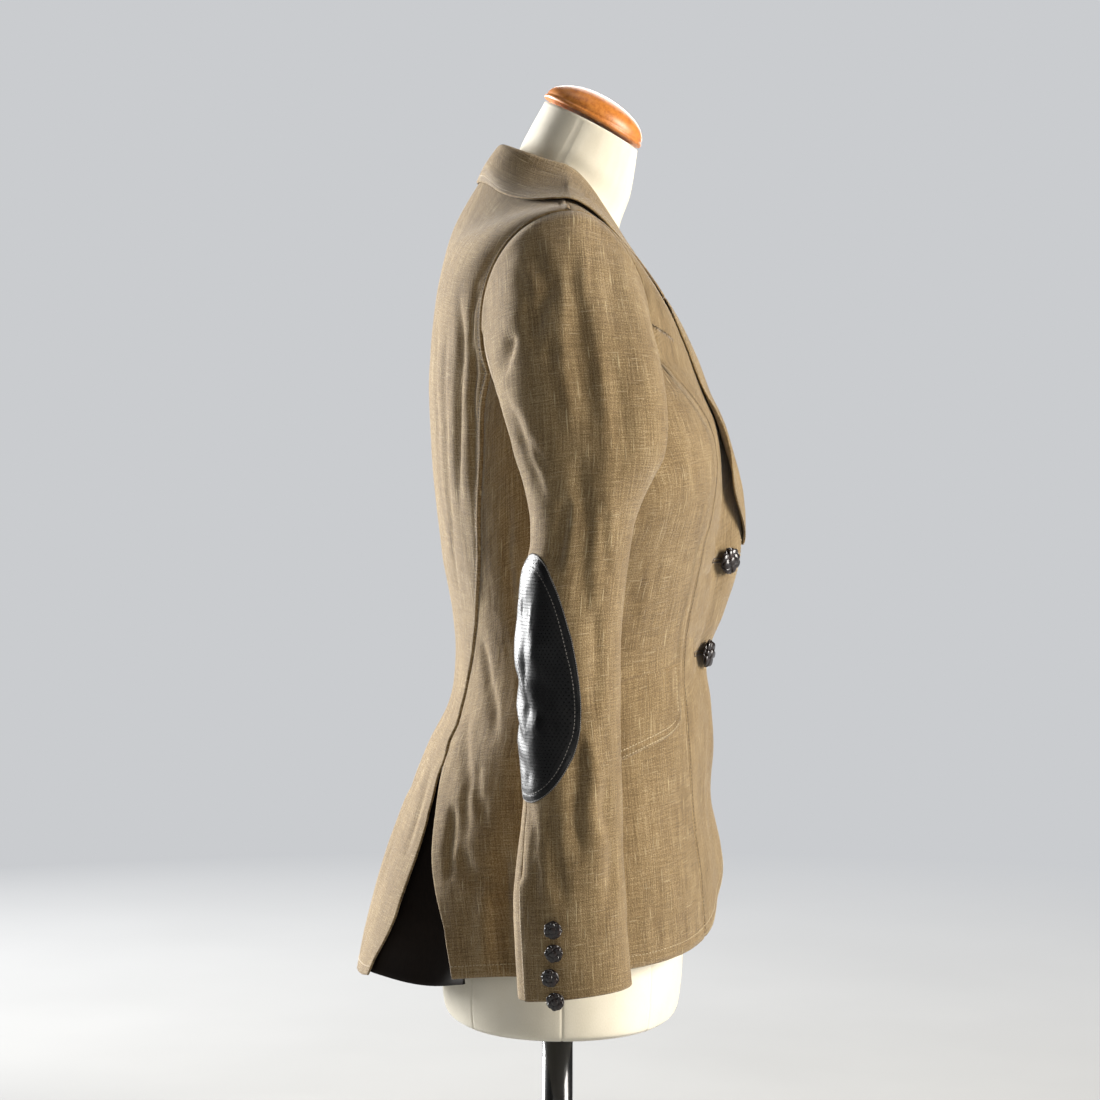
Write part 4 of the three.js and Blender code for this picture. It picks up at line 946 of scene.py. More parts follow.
def panel_grid(us, rows, from_a, to_a, top_s, above=None):
    """(a, s) of a panel's grid: rows from the hem up to top_s, then the rows above it."""
    u, v = grid_of(us, rows)
    s = v * 5
    for _ in range(12):
        a = mix(from_a(s), to_a(s), u)
        s = mix(hem_s(a), top_s, v)
    a = mix(from_a(s), to_a(s), u)
    if above is not None:
        (a0, s0), (a1, s1) = above
        upper_a = mix(a0[None, :], a1[None, :], us[:, None])
        upper_s = mix(s0[None, :], s1[None, :], us[:, None])
        a, s = np.concatenate([a, upper_a], 1), np.concatenate([s, upper_s], 1)
    return a, s


def rows_to_neck(seam_a, seam_s, inner_a, round_armhole, along_shoulder):
    """The ends of the rows round the armhole to the tip of the shoulder and along its seam to the neck."""
    count = round_armhole + along_shoulder
    row = np.arange(1, count + 1)
    inner_s = mix(seam_s, NECK_RING, row / count)
    inner = (inner_a(inner_s), inner_s)
    from_v = armhole_v(torso(seam_a, seam_s))
    round_a, round_s = armhole_where(mix(from_v, 0.5, np.minimum(row / round_armhole, 1)))
    shoulder_s = mix(shoulder_tip_s, NECK_RING, np.clip((row - round_armhole) / along_shoulder, 0, 1))
    is_round = row < round_armhole
    outer = (np.where(is_round, round_a, 0.5), np.where(is_round, round_s, shoulder_s))
    return inner, outer


SEAM_HAIR = 0.04  # each side edge is drawn in by this much, so that neighbours don't touch
TORSO_ROUND = 450  # about the length from the centre front to the centre back
CALM_YOKE = dict(share=0.75, start=505, over=25)  # the cloth over the shoulders is smoother


def torso_cloth(a, s):
    a = a.copy()
    for column, inward in ((0, 1), (-1, -1)):
        a[column] = a[column] + inward * SEAM_HAIR * per_mm(torso, a[column], s[column])
    return Cloth(torso(a, s), torso_normal(a, s))


def body_relief(p, a, side):
    """Folds and unevenness of the torso's cloth at points p."""
    seed = 11 if side == RIGHT else 23
    z, round_x = p[..., 2], TORSO_ROUND * a
    calm = CALM_YOKE["share"] * smoothstep((z - CALM_YOKE["start"]) / CALM_YOKE["over"])
    lift = crumple(round_x, z, seed) * (1 - calm)
    lift -= folds(round_x, z, BODY_FOLD_LINES[side], seed)
    return lift - smoothstep((0.33 - a) / 0.06) * folds(p[..., 0], z, FRONT_FOLDS, seed + 3)


def side_view_line(line, wobble=0.0, seed=0):
    """A fold's line from (y, z) of the side view to its place round the torso and z."""
    points, back_width, front_width, depth = line
    y, z = np.array([p[0] for p in points], float), np.array([p[1] for p in points], float)
    a, _ = torso_where({"y": y, "z": z}, (0.5 + y / 300, np.interp(z, BODY["zSide"], np.arange(NECK_RING + 1))))
    shift = wobble * noise(z, z, 60, seed)
    return list(zip(TORSO_ROUND * a + shift, z)), back_width, front_width, depth


BODY_FOLD_LINES = {
    RIGHT: [side_view_line(line) for line in BODY_FOLDS],
    LEFT: [side_view_line(line, 14, 5) for line in BODY_FOLDS],
}
PANEL_ROWS = np.linspace(0, 1, 120)
SIDE_ROWS = np.linspace(0, 1, 130)
HEM_STITCH = 8.5
HEM_EDGE_STITCH = 1.8
FRONT_STITCH = 6
PRINCESS_STITCH = 2.4
BACK_STITCH = 4.6
LAPEL_FOOT_Z = 352
FACING = dict(front=62, hem=24, pleat=12, cuff=30)  # how far the linen is turned in


def centre_back(s):
    return np.ones_like(s)


def build_front(side):
    us = spaced(0, (0.2, 22), (0.9, 34), (1, 10))
    above = rows_to_neck(princess_a(princess_top_s), princess_top_s, front_edge_a[side], 54, 24)
    a, s = panel_grid(us, PANEL_ROWS, front_edge_a[side], princess_a, princess_top_s, above)
    cloth = torso_cloth(a, s)
    e, z = cloth.edges, cloth.points[..., 2]
    below_lapel, below_neck = smoothstep((LAPEL_FOOT_Z - z) / 12), smoothstep((600 - z) / 30)
    cloth.add(underlap_lift(side, cloth.points)).add(body_relief(cloth.points, a, side))
    cloth.add((seam_roll(e.last) + stitch_channel(e.last, PRINCESS_STITCH, 0.3)) * below_neck)
    cloth.add(stitch_channel(e.first, FRONT_STITCH) * below_lapel).add(stitch_channel(e.bottom, HEM_STITCH))
    cloth.make(f"front_{SIDES[side]}", side, (e.first < FACING["front"]) | (e.bottom < FACING["hem"]))
    rows = [("bottom", HEM_STITCH), ("bottom", HEM_EDGE_STITCH), ("first", FRONT_STITCH, 0.0, 0.42)]
    stitches(f"stitches_front_{SIDES[side]}", [cloth.line(*row) for row in rows], THREAD)
    stitches(f"seam_stitches_front_{SIDES[side]}", [cloth.line("last", PRINCESS_STITCH, 0.01, 0.56)], THREAD_DARK,
             radius=0.24)


def build_side_panel(side, part, from_a, to_a):
    name = f"{part}_{SIDES[side]}"
    us = spaced(0, (0.1, 8), (0.9, 38), (1, 8))
    top = armhole_s(lambda s: mix(from_a(s), to_a(s), us), us.shape)[:, None]
    a, s = panel_grid(us, SIDE_ROWS, from_a, to_a, top)
    cloth = torso_cloth(a, s)
    e = cloth.edges
    is_pleat_edge = (part == "side_back") * smoothstep((PLEAT_TOP - cloth.points[..., 2]) / 12)
    cloth.add(body_relief(cloth.points, a, side)).add(stitch_channel(e.bottom, HEM_STITCH))
    cloth.add(seam_roll(e.first)).add(seam_roll(e.last) * (1 - is_pleat_edge))
    cloth.make(name, side, (e.bottom < FACING["hem"]) | ((e.last < FACING["pleat"]) & (is_pleat_edge > 0)))
    stitches(f"stitches_{name}", [cloth.line("bottom", HEM_STITCH)], THREAD)


def build_back(side):
    name = f"back_{SIDES[side]}"
    us = spaced(0, (0.12, 12), (0.94, 36), (1, 8))
    inner, outer = rows_to_neck(tail_edge_a(back_seam_top_s), back_seam_top_s, centre_back, 56, 24)
    a, s = panel_grid(us, PANEL_ROWS, tail_edge_a, centre_back, back_seam_top_s, (outer, inner))
    cloth = torso_cloth(a, s)
    e = cloth.edges
    is_seam = 1 - smoothstep((PLEAT_TOP - cloth.points[..., 2]) / 14)
    cloth.add(body_relief(cloth.points, a, side)).add(stitch_channel(e.bottom, HEM_STITCH))
    cloth.add(seam_ridge(e.first) * is_seam).add(seam_roll(e.last, 0.7, 1.4))
    cloth.add(stitch_channel(e.first, BACK_STITCH, 0.3) * is_seam)
    cloth.make(name, side, (e.bottom < FACING["hem"]) | (e.first < FACING["pleat"]))
    stitches(f"stitches_{name}", [cloth.line("bottom", HEM_STITCH)], THREAD)
    stitches(f"seam_stitches_{name}", [cloth.line("first", BACK_STITCH, 0.3, 0.86)], THREAD_DARK, radius=0.24)


def build_pleat(side):
    u, v = grid_of(np.linspace(0.005, 0.995, 40), np.linspace(0, 1, 60))
    arch = 1 - (2 * u - 1) ** 2
    z = mix(PLEAT["top"], PLEAT["bottom"] - PLEAT["drop"] * u - PLEAT["sag"] * arch, v)
    s = solve(lambda row: torso(0.75, row)[..., 2] - z, -0.5, 6, z.shape)
    overlap = PLEAT["overlap"] * per_mm(torso, 0.75, s) * smoothstep(v * 2.5)
    a = mix(side_panel_edge_a(s) - overlap, tail_edge_a(s) + overlap, u)
    lift = -CLOTH - 1.5 * OVERLAY - PLEAT["depth"] * smoothstep(v * 1.1) * arch
    cloth = Cloth(torso_at(a, s, lift), torso_normal(a, s), PLEAT["wall"])
    cloth.add(0.8 * noise(u * 60, z * 0.4, 14, 5) * smoothstep(v * 3))
    # The underlay takes the near-black lining colour: painted shade inside the pleat.
    cloth.make(f"pleat_{SIDES[side]}", side, outside=SHADED_LINING, slot="lining")


# ---------------------------------------------------------------- lapels and collar

turn_front_s = {
    side: {
        "s": np.array([
            NECK_RING if math.isnan(z)
            else float(solve(lambda s, z=z: torso(front_edge_a[side](s), s)[..., 2] - z, 5, NECK_RING))
            for z in TURN["z"][: NECKLINE + 1]
        ])
    }
    for side in SIDES
}


def turn_edge(row):
    x, y, z = TURN["edgeX"][row], TURN["edgeY"][row], TURN["edgeZ"][row]
    if x == 0:
        return 1.0, float(solve(lambda s: y - torso(1.0, s)[..., 1], 12, NECK_RING))
    a = TURN["a"][row]
    guess = (0.15, turn_front_s[RIGHT]["s"][min(row, NECKLINE)])
    if not math.isnan(a):
        guess = (2 - a if x < 0 else min(a, 0.97), 14.4)
    wanted = {"x": abs(x), "y": y} if math.isnan(z) else {"x": abs(x), "z": z}
    edge_a, edge_s = torso_where(wanted, guess)
    return (2 - float(edge_a) if x < 0 else float(edge_a)), float(edge_s)


_turn_edges = [turn_edge(row) for row in range(len(TURN["fold"]))]
turn_edges = {"a": np.array([e[0] for e in _turn_edges]), "s": np.array([e[1] for e in _turn_edges])}
neckline_rows = {"a": TURN["a"][NECKLINE:]}


def turn_base(side, q):
    s_low = smooth(turn_front_s[side], "s", q)
    is_neck = q >= NECKLINE
    a = np.where(is_neck, smooth(neckline_rows, "a", q - NECKLINE), front_edge_a[side](s_low))
    return a, np.where(is_neck, NECK_RING, s_low)


TURN_REST = 0.7
TURN_SHELL = 1.4


def turned(side, u, q, face):
    """Points of the turned cloth: u runs up the stand, round the fold and down to the outer edge."""
    a, s = turn_base(side, q)
    value = {column: smooth(TURN, column, q)[..., None] for column in ("stand", "fold", "spring", "lean")}
    ahead, behind = turn_base(side, q + 0.02), turn_base(side, np.maximum(q - 0.02, 0))
    along = unit(torso(*ahead) - torso(*behind))
    normal = torso_normal(a, s)
    up = unit(np.cross(normal, along))
    lean = value["lean"]
    rising, outward = unit(up + normal * lean), unit(normal - up * lean)
    foot = torso(a, s) + up * (GAP + 0.12 + CLOTH * np.maximum(-lean, 0))
    u3 = u[..., None]
    stand = foot + rising * value["stand"] * u3 - outward * CLOTH * face
    head = foot + rising * value["stand"]
    angle = np.pi * (u3 - 1)
    radius = value["fold"] / 2 + CLOTH * face
    fold = head + outward * (value["fold"] / 2 - radius * np.cos(angle)) + rising * (radius * np.sin(angle))
    top = head + outward * (value["fold"] + CLOTH * face)
    edge_a, edge_s = smooth(turn_edges, "a", q), smooth(turn_edges, "s", q)
    edge = torso_at(edge_a, edge_s, TURN_REST + 0.7 * value["spring"][..., 0] + TURN_SHELL * face)
    shoulder = top - rising * 0.5 * np.linalg.norm(top - edge, axis=-1, keepdims=True)
    t = u3 - 2
    fall = top * (1 - t) ** 2 + shoulder * 2 * t * (1 - t) + edge * t * t
    return np.where(u3 <= 1, stand, np.where(u3 <= 2, fold, fall))


def notch_share(u):
    return np.maximum((u - 2 - NOTCH["at"]) / (1 - NOTCH["at"]), 0)


TURN_US = spaced(1, (2, 15), (2.86, 34), (3, 12))
EDGE_STITCH = 5.5
GORGE_HAIR = 0.006  # in rows of the table, between lapel and collar


def build_lapel(side):
    name = f"lapel_{SIDES[side]}"
    u, v = grid_of(TURN_US, np.linspace(0, 1, 130))
    end = GORGE - GORGE_HAIR - NOTCH["lapel_cut"] * notch_share(u)
    q = mix(LAPEL_FOOT[side], end, v)
    outer, inner = turned(side, u, q, 1), turned(side, u, q, 0)
    cloth = Cloth(outer, unit(outer - inner), TURN_SHELL)
    e = cloth.edges
    cloth.add(crumple(outer[..., 0] * 1.2, outer[..., 2], 31, 0.2))
    cloth.add(stitch_channel(e.last, EDGE_STITCH) + seam_roll(e.top, 0.8, 1.5) * (notch_share(u) == 0))
    cloth.make(name, side)
    stitches(f"stitches_{name}", [cloth.line("last", EDGE_STITCH, 0.03, 0.985)], THREAD)


def build_collar():
    us = np.concatenate([np.linspace(0, 1, 16)[:-1], TURN_US])
    u, v = grid_of(us, np.linspace(0, 1, 100))
    start = GORGE + GORGE_HAIR + NOTCH["collar_cut"] * notch_share(u)
    q = mix(start, COLLAR_MIDDLE, v)
    sides = {}
    for side in SIDES:
        outer, inner = turned(side, u, q, 1), turned(side, u, q, 0)
        sides[side] = [grid * [side, 1, 1] for grid in (outer, unit(outer - inner))]
    join = lambda k: np.concatenate([sides[RIGHT][k], sides[LEFT][k][:, ::-1][:, 1:]], 1)
    cloth = Cloth(join(0), join(1), TURN_SHELL)
    e = cloth.edges
    u_all = np.concatenate([u, u[:, 1:]], 1)
    cloth.add(crumple(cloth.points[..., 0], cloth.points[..., 1] + cloth.points[..., 2], 37, 0.22))
    cloth.add(stitch_channel(e.last, EDGE_STITCH) * (u_all > 2))
    cloth.add(seam_roll(np.minimum(e.bottom, e.top), 0.8, 1.5) * (notch_share(u_all) == 0))
    cloth.make("collar", LEFT)
    stitches("stitches_collar", [cloth.line("last", EDGE_STITCH, 0.02, 0.98)], THREAD)


# ---------------------------------------------------------------- sleeves


def sleeve_ring(v, q):
    r = {column: smooth(SLEEVE, column, q) for column in SLEEVE}
    cos, sin = np.cos(2 * np.pi * v), np.sin(2 * np.pi * v)
    power = 2 / SLEEVE_FULLNESS
    half_x, half_y = (r["xOuter"] - r["xInner"]) / 2, (r["yBack"] - r["yFront"]) / 2
    x = (r["xOuter"] + r["xInner"]) / 2 - half_x * np.sign(cos) * np.abs(cos) ** power
    across = -half_y * np.sign(sin) * np.abs(sin) ** power
    return np.stack([x, (r["yBack"] + r["yFront"]) / 2 + across, r["z"] + r["tilt"] * across], -1)


ARMHOLE_SAMPLES = np.linspace(0, 1, 721)
ARMHOLE_POINTS = torso(*armhole_where(ARMHOLE_SAMPLES, SLEEVE_INSET)) + [SLEEVE_STANDOFF, 0, 0]


def armhole_point(v):
    return np.stack([np.interp(v % 1, ARMHOLE_SAMPLES, ARMHOLE_POINTS[:, k]) for k in range(3)], -1)


def smooth_sleeve(v, q):
    """The sleeve without its folds: rings up to SLEEVE_TOP, then the cap, up to the armhole one row on."""
    v, q = np.broadcast_arrays(np.asarray(v, float), np.asarray(q, float))
    ring = sleeve_ring(v, np.minimum(q, SLEEVE_TOP))
    start = sleeve_ring(v, SLEEVE_TOP)
    end = armhole_point(v)
    length = np.linalg.norm(end - start, axis=-1, keepdims=True)
    leaving = unit(start - sleeve_ring(v, SLEEVE_TOP - 0.5)) * length * CAP_REACH["ring"]
    crown = np.maximum(-np.cos(2 * np.pi * v), 0) ** 1.5
    rise = CAP_REACH["lift"] + CAP_REACH["crown_lift"] * crown
    arriving = unit(np.stack([-np.ones_like(rise), np.zeros_like(rise), rise], -1)) * length * CAP_REACH["armhole"]
    t = np.clip(q - SLEEVE_TOP, 0, None)[..., None]
    cap = (
        start * (2 * t**3 - 3 * t**2 + 1)
        + leaving * (t**3 - 2 * t**2 + t)
        + end * (3 * t**2 - 2 * t**3)
        + arriving * (t**3 - t**2)
    )
    return np.where(t > 0, cap, ring)


def sleeve_normal(v, q):
    return normal_of(smooth_sleeve, v, np.minimum(q, SLEEVE_TOP + 0.97), 3e-3)


def sleeve_relief(v, q, p, side):
    """Folds of a sleeve: those of its outer side by the side view, the others by their place round it."""
    seed = 41 if side == RIGHT else 53
    fade = smoothstep((SLEEVE_TOP + 0.97 - q) * 5)
    outer_side = smoothstep((v - 0.27) / 0.1) * smoothstep((0.8 - v) / 0.1)
    shift = 0 if side == RIGHT else 5 * noise(p[..., 2], p[..., 2], 70, 8)
    lift = -folds(p[..., 1] + shift, p[..., 2], SLEEVE_FOLDS, seed) * outer_side
    round_x = 240 * np.where(v < 0.5, v + 1, v)
    under = [([(240 * x, z) for x, z in points], *rest) for points, *rest in UNDER_FOLDS]
    lift -= folds(round_x, p[..., 2], under, seed + 5) * (1 - outer_side)
    lift -= patch_creases(v, np.minimum(q, SLEEVE_TOP), p[..., 2])
    return (lift + crumple(240 * v, p[..., 2], seed + 9, 0.32)) * fade


ELBOW_V = 0.66
PATCH_CREASES = [
    ([(0.5, 0.85), (0.1, 0.5), (-0.3, 0.35)], 0.16, 0.1, 2.6),
    ([(0.8, 0.25), (0.2, 0.12), (-0.35, -0.2)], 0.15, 0.09, 3.2),
    ([(0.1, 0.3), (-0.4, 0.16), (-0.8, 0.02)], 0.12, 0.1, 2.4),
    ([(0.0, 0.05), (-0.4, -0.08), (-0.8, -0.2)], 0.1, 0.12, 2.0),
    ([(0.8, -0.1), (0.3, -0.2), (-0.15, -0.5)], 0.12, 0.1, 2.2),
    ([(0.1, 0.66), (-0.25, 0.58)], 0.1, 0.08, 1.6),
    ([(0.4, -0.5), (0.0, -0.62), (-0.2, -0.8)], 0.1, 0.1, 1.4),
]


def patch_creases(v, q, z):
    """The creases at the elbow, which the patch and the sleeve under it share."""
    across, up = (v - PATCH["v"]) / per_mm(sleeve_ring, ELBOW_V, q), z - PATCH["z"]
    x, y = across / PATCH["half_width"], up / np.where(up > 0, PATCH["up"], PATCH["down"])
    return folds(x, y, PATCH_CREASES, 3, 0.02) * smoothstep((1 - np.hypot(x, y)) * 6)


def back_seam_v(q):
    return lookup(SLEEVE_BACK_SEAM, "q", q, "v")


SLEEVE_QS = spaced(0, (SLEEVE_TOP, 140), (SLEEVE_TOP + 1, 56))
VENT_TOP_Q = 2.6
SLEEVE_HAIR = 0.00012  # half the gap at the sleeve's seams, as a share of its round


def sleeve_cloth(side, columns, from_v, to_v):
    edge = np.linspace(0, 0.06, 6)[:-1]
    us = np.concatenate([edge, np.linspace(0.06, 0.94, columns), 1 - edge[::-1]])
    u, q = grid_of(us, SLEEVE_QS)
    v = mix(from_v(q) + SLEEVE_HAIR, to_v(q) - SLEEVE_HAIR, u)
    p = smooth_sleeve(v, q)
    cloth = Cloth(p, sleeve_normal(v, q))
    cloth.add(sleeve_relief(v, q, p, side))
    return cloth, v, q


def build_sleeve(side):
    upper, v, q = sleeve_cloth(side, 66, lambda q: SLEEVE_FRONT_SEAM + 0 * q, back_seam_v)
    e, vent = upper.edges, smoothstep((VENT_TOP_Q - q) / 0.3)
    cap_roll = 1.3 * np.exp(-(((e.top - 9) / 6) ** 2)) * smoothstep((q - SLEEVE_TOP - 0.3) * 4)
    upper.add(seam_roll(e.first) + seam_roll(e.last) * (1 - vent) + seam_roll(e.top, 0.8, 2))
    upper.add(1.5 * vent * smoothstep((12 - e.last) / 12) + cap_roll + stitch_channel(e.bottom, 3, 0.2))
    upper.make(f"sleeve_upper_{SIDES[side]}", side, e.bottom < FACING["cuff"])
    under, v, q = sleeve_cloth(side, 40, back_seam_v, lambda q: 1 + SLEEVE_FRONT_SEAM + 0 * q)
    e, vent = under.edges, smoothstep((VENT_TOP_Q - q) / 0.3)
    under.add(seam_roll(e.last) + seam_roll(e.first) * (1 - vent) + seam_roll(e.top, 0.8, 2))
    under.add(-0.8 * vent * smoothstep((10 - e.first) / 10))
    under.make(f"sleeve_under_{SIDES[side]}", side, e.bottom < FACING["cuff"], beside=1)
    stitches(f"vent_stitches_{SIDES[side]}", [upper.line("last", 1.6, 0.0, 0.14)], THREAD, radius=0.26)


def sleeve_where(y, z):
    """The (v, q) on a sleeve's outer side at a place of the side view."""
    q = solve(lambda row: smooth_sleeve(0.5, row)[..., 2] - z, 0, SLEEVE_TOP)
    return solve(lambda v: smooth_sleeve(v, q)[..., 1] - y, 0.3, 0.72), q


def sleeve_surface(v, q, side, lift):
    p = smooth_sleeve(v, q)
    return p + sleeve_normal(v, q) * (sleeve_relief(v, q, p, side) + lift)[..., None]


# ---------------------------------------------------------------- elbow patches

PERFORATION = dict(pitch=2.8, radius=0.52, depth=0.8, margin=2.2, stitch_margin=0.9, corners=6)
PATCH_LIFT = 0.5
PATCH_STITCH = 4.0


def patch_where(across, up):
    """(v, q) of places of the patch, in millimetres from its middle."""
    z = PATCH["z"] + up
    q = solve(lambda row: sleeve_ring(0.6, row)[..., 2] - z, 0, SLEEVE_TOP, np.shape(up))
    return PATCH["v"] + across * per_mm(sleeve_ring, ELBOW_V, q), q


def patch_surface(across, up, side, lift):
    v, q = patch_where(across, up)
    reach = np.hypot(across / PATCH["half_width"], up / np.where(up > 0, PATCH["up"], PATCH["down"]))
    rim = (1 - reach) * PATCH["half_width"]
    total = lift + PATCH_LIFT + 0.7 * smoothstep(rim / 3) + stitch_channel(rim, PATCH_STITCH, 0.35, 0.9)
    p = smooth_sleeve(v, q)
    return placed(p + sleeve_normal(v, q) * (sleeve_relief(v, q, p, side) + total)[..., None], side)


def hole_centres():
    """Places of the holes in staggered rows, clear of the patch's rim and of its row of stitches."""
    pitch, margin = PERFORATION["pitch"], PERFORATION["margin"]
    row_pitch = pitch * math.sqrt(3) / 2
    centres = []
    for row in range(int((PATCH["up"] + PATCH["down"]) / row_pitch) + 2):
        y = -PATCH["down"] + row * pitch * math.sqrt(3) / 2
        tall = PATCH["up"] if y > 0 else PATCH["down"]
        for column in range(-20, 21):
            x = (column + 0.5 * (row % 2)) * pitch
            rim = (1 - math.hypot(x / PATCH["half_width"], y / tall)) * PATCH["half_width"]
            is_inside = math.hypot(x / (PATCH["half_width"] - margin), y / (tall - margin)) < 1
            if is_inside and abs(rim - PATCH_STITCH) > PERFORATION["stitch_margin"]:
                centres.append((x, y))
    return np.array(centres)


def build_patch(side):
    """The perforated leather: a flat triangulation laid on the sleeve, with walls down into its holes."""
    name = f"elbow_patch_{SIDES[side]}"
    corners = PERFORATION["corners"]
    centres = hole_centres()
    angles = np.arange(corners) * 2 * np.pi / corners + 0.3
    circle = np.stack([np.cos(angles), np.sin(angles)], -1) * PERFORATION["radius"]
    holes = (centres[:, None, :] + circle[None]).reshape(-1, 2)
    turns = np.linspace(0, 2 * np.pi, 221)[:-1]
    tall = np.where(np.sin(turns) > 0, PATCH["up"], PATCH["down"])
    outline = np.stack([np.cos(turns) * PATCH["half_width"], np.sin(turns) * tall], -1)
    rings = [outline * (1 - inset / PATCH["half_width"]) for inset in (0, 0.6, 1.4, 3.2, 4.0, 4.8)]
    count = len(outline)
    first_hole = count * len(rings)
    loops = [[first_hole + h * corners + k for k in range(corners)] for h in range(len(centres))]
    edges = [pair for loop in [list(range(count)), *loops] for pair in zip(loop, loop[1:] + loop[:1])]
    flat = [Vector(p) for p in np.concatenate([*rings, holes])]
    result = delaunay_2d_cdt(flat, edges, [], 1, 1e-5)
    verts2d, faces = np.array([tuple(v) for v in result[0]]), result[2]
    origin = [min(ids) if len(ids) else -1 for ids in result[3]]
    hole_of = [(o - first_hole) // corners if o >= first_hole else -1 for o in origin]
    faces = [list(f) for f in faces if hole_of[f[0]] < 0 or len({hole_of[i] for i in f}) > 1]
    at_origin = {o: i for i, o in enumerate(origin)}
    mouth = np.array([at_origin[first_hole + i] for i in range(len(holes))])
    top = patch_surface(*verts2d.T, side, 0.0)
    bottom = patch_surface(*holes.T, side, -PERFORATION["depth"])
    skirt = patch_surface(*outline.T, side, -0.9)
    mouth_base = len(top)  # the holes' walls have corners of their own, for a crisp edge
    bottom_base = mouth_base + len(mouth)
    skirt_base = bottom_base + len(bottom)
    for h in range(len(centres)):
        high = [mouth_base + h * corners + k for k in range(corners)]
        low = [bottom_base + h * corners + k for k in range(corners)]
        faces += [[high[k - 1], low[k - 1], low[k], high[k]] for k in [*range(1, corners), 0]]
        faces.append(low)
    rim = [at_origin[i] for i in range(count)]
    after = [*range(1, count), 0]
    skirt_faces = [[rim[i], rim[after[i]], skirt_base + after[i], skirt_base + i] for i in range(count)]
    ids = [0] * len(faces) + [1] * count
    faces += skirt_faces
    if side == LEFT:
        faces = [face[::-1] for face in faces]
    verts = np.concatenate([top, top[mouth], bottom, skirt])
    uvs = np.concatenate([verts2d, verts2d[mouth], holes, outline]) * MM
    piece = make_object(name + "_leather", verts, faces, uvs, ids, [LEATHER_BLACK, LEATHER_EDGE])
    dress(piece, name)
    cloths[name] = None  # leather has no Cloth; the loop at the end skips it
    lines = []
    for inset, lift in ((PATCH_STITCH, 0.12), (0.35, 0.0)):
        loop = (np.concatenate([outline, outline[:1]]) * (1 - inset / PATCH["half_width"])).T
        lines.append((patch_surface(*loop, side, lift), sleeve_normal(*patch_where(*loop)) * [side, 1, 1]))
    stitches(f"stitches_{name}", lines[:1], THREAD_GREY, "patch_leather", 2.8, 2.1, 0.26)
    stitches(f"edge_stitches_{name}", lines[1:], THREAD_GREY, "patch_leather", 1.5, 1.45, 0.34)


# ---------------------------------------------------------------- pocket flaps


FLAP_STITCH = dict(inset=6.4, edge=1.4)


def build_flap(side):
    name = f"pocket_flap_{SIDES[side]}"
    u, v = grid_of(spaced(0, (0.16, 24), (1, 44)), np.linspace(0, 1, 40))
    y = mix(FLAP["front_y"], FLAP["back_y"], u)
    from_corner = np.clip((y - FLAP["front_y"]) / FLAP["corner"], 0, 1)
    rounded = FLAP["corner"] * (1 - np.sqrt(1 - (1 - from_corner) ** 2)) * 0.8
    drop = mix(FLAP["front_drop"], FLAP["back_drop"], u) - rounded
    z = mix(FLAP["front_top"], FLAP["back_top"], u) - v * drop
    a, s = torso_where({"y": y, "z": z}, (0.35 + 0.12 * u, 5.5))
    cloth = Cloth(torso_at(a, s, GAP), torso_normal(a, s), 0.9)
    e, inset = cloth.edges, FLAP_STITCH["inset"]
    cloth.add(body_relief(cloth.points, a, side)).add(1.3 * smoothstep(v / 0.06) - 0.9 * (1 - smoothstep(v / 0.04)))
    cloth.add(stitch_channel(e.top, inset, 0.3) + stitch_channel(e.first, inset, 0.3))
    cloth.make(name, side)
    rows = [("top", inset, 0.1, 0.98), ("top", FLAP_STITCH["edge"], 0.05, 0.98), ("first", inset, 0.06, 0.8)]
    stitches(f"stitches_{name}", [cloth.line(*row) for row in rows], THREAD_LIGHT, "linen", 2.8, 2.1, 0.3)


# ---------------------------------------------------------------- buttons


STRAP_LEAN = 0.72


def strap(radius, height, lean, width, direction, sign):
    """One band of a knotted button: a grid of points along a great circle of its dome, narrower at its ends."""
    reach = 1.75 if lean == 0 else 1.5
    t, c = np.meshgrid(np.linspace(-reach, reach, 41), np.linspace(-1, 1, 9), indexing="ij")
    half_width = 0.5 * width * (0.45 + 0.55 * np.cos(t * 0.9))
    tilt = lean * STRAP_LEAN + c * half_width / radius
    nx, ny, nz = np.sin(t), np.cos(t) * np.sin(tilt), np.cos(t) * np.cos(tilt)
    weave = 0.14 * sign * np.cos(np.pi * t / STRAP_LEAN) * (np.abs(t) < 1.5 * STRAP_LEAN)
    out = radius * (0.88 + weave + 0.13 * np.sqrt(np.maximum(1 - c**2, 0)))
    points = np.stack([nx * out, ny * out, nz * out * height / radius], -1)
    return points[..., [1, 0, 2]] if direction else points


SHANK_PROFILE = [  # shares of the radius and of the height, under the knot's bands
    (0.02, 0), (0.2, 0), (0.2, 0.2), (0.5, 0.26), (0.82, 0.32), (0.86, 0.4), (0.78, 0.5), (0.5, 0.62), (0.02, 0.68),
]


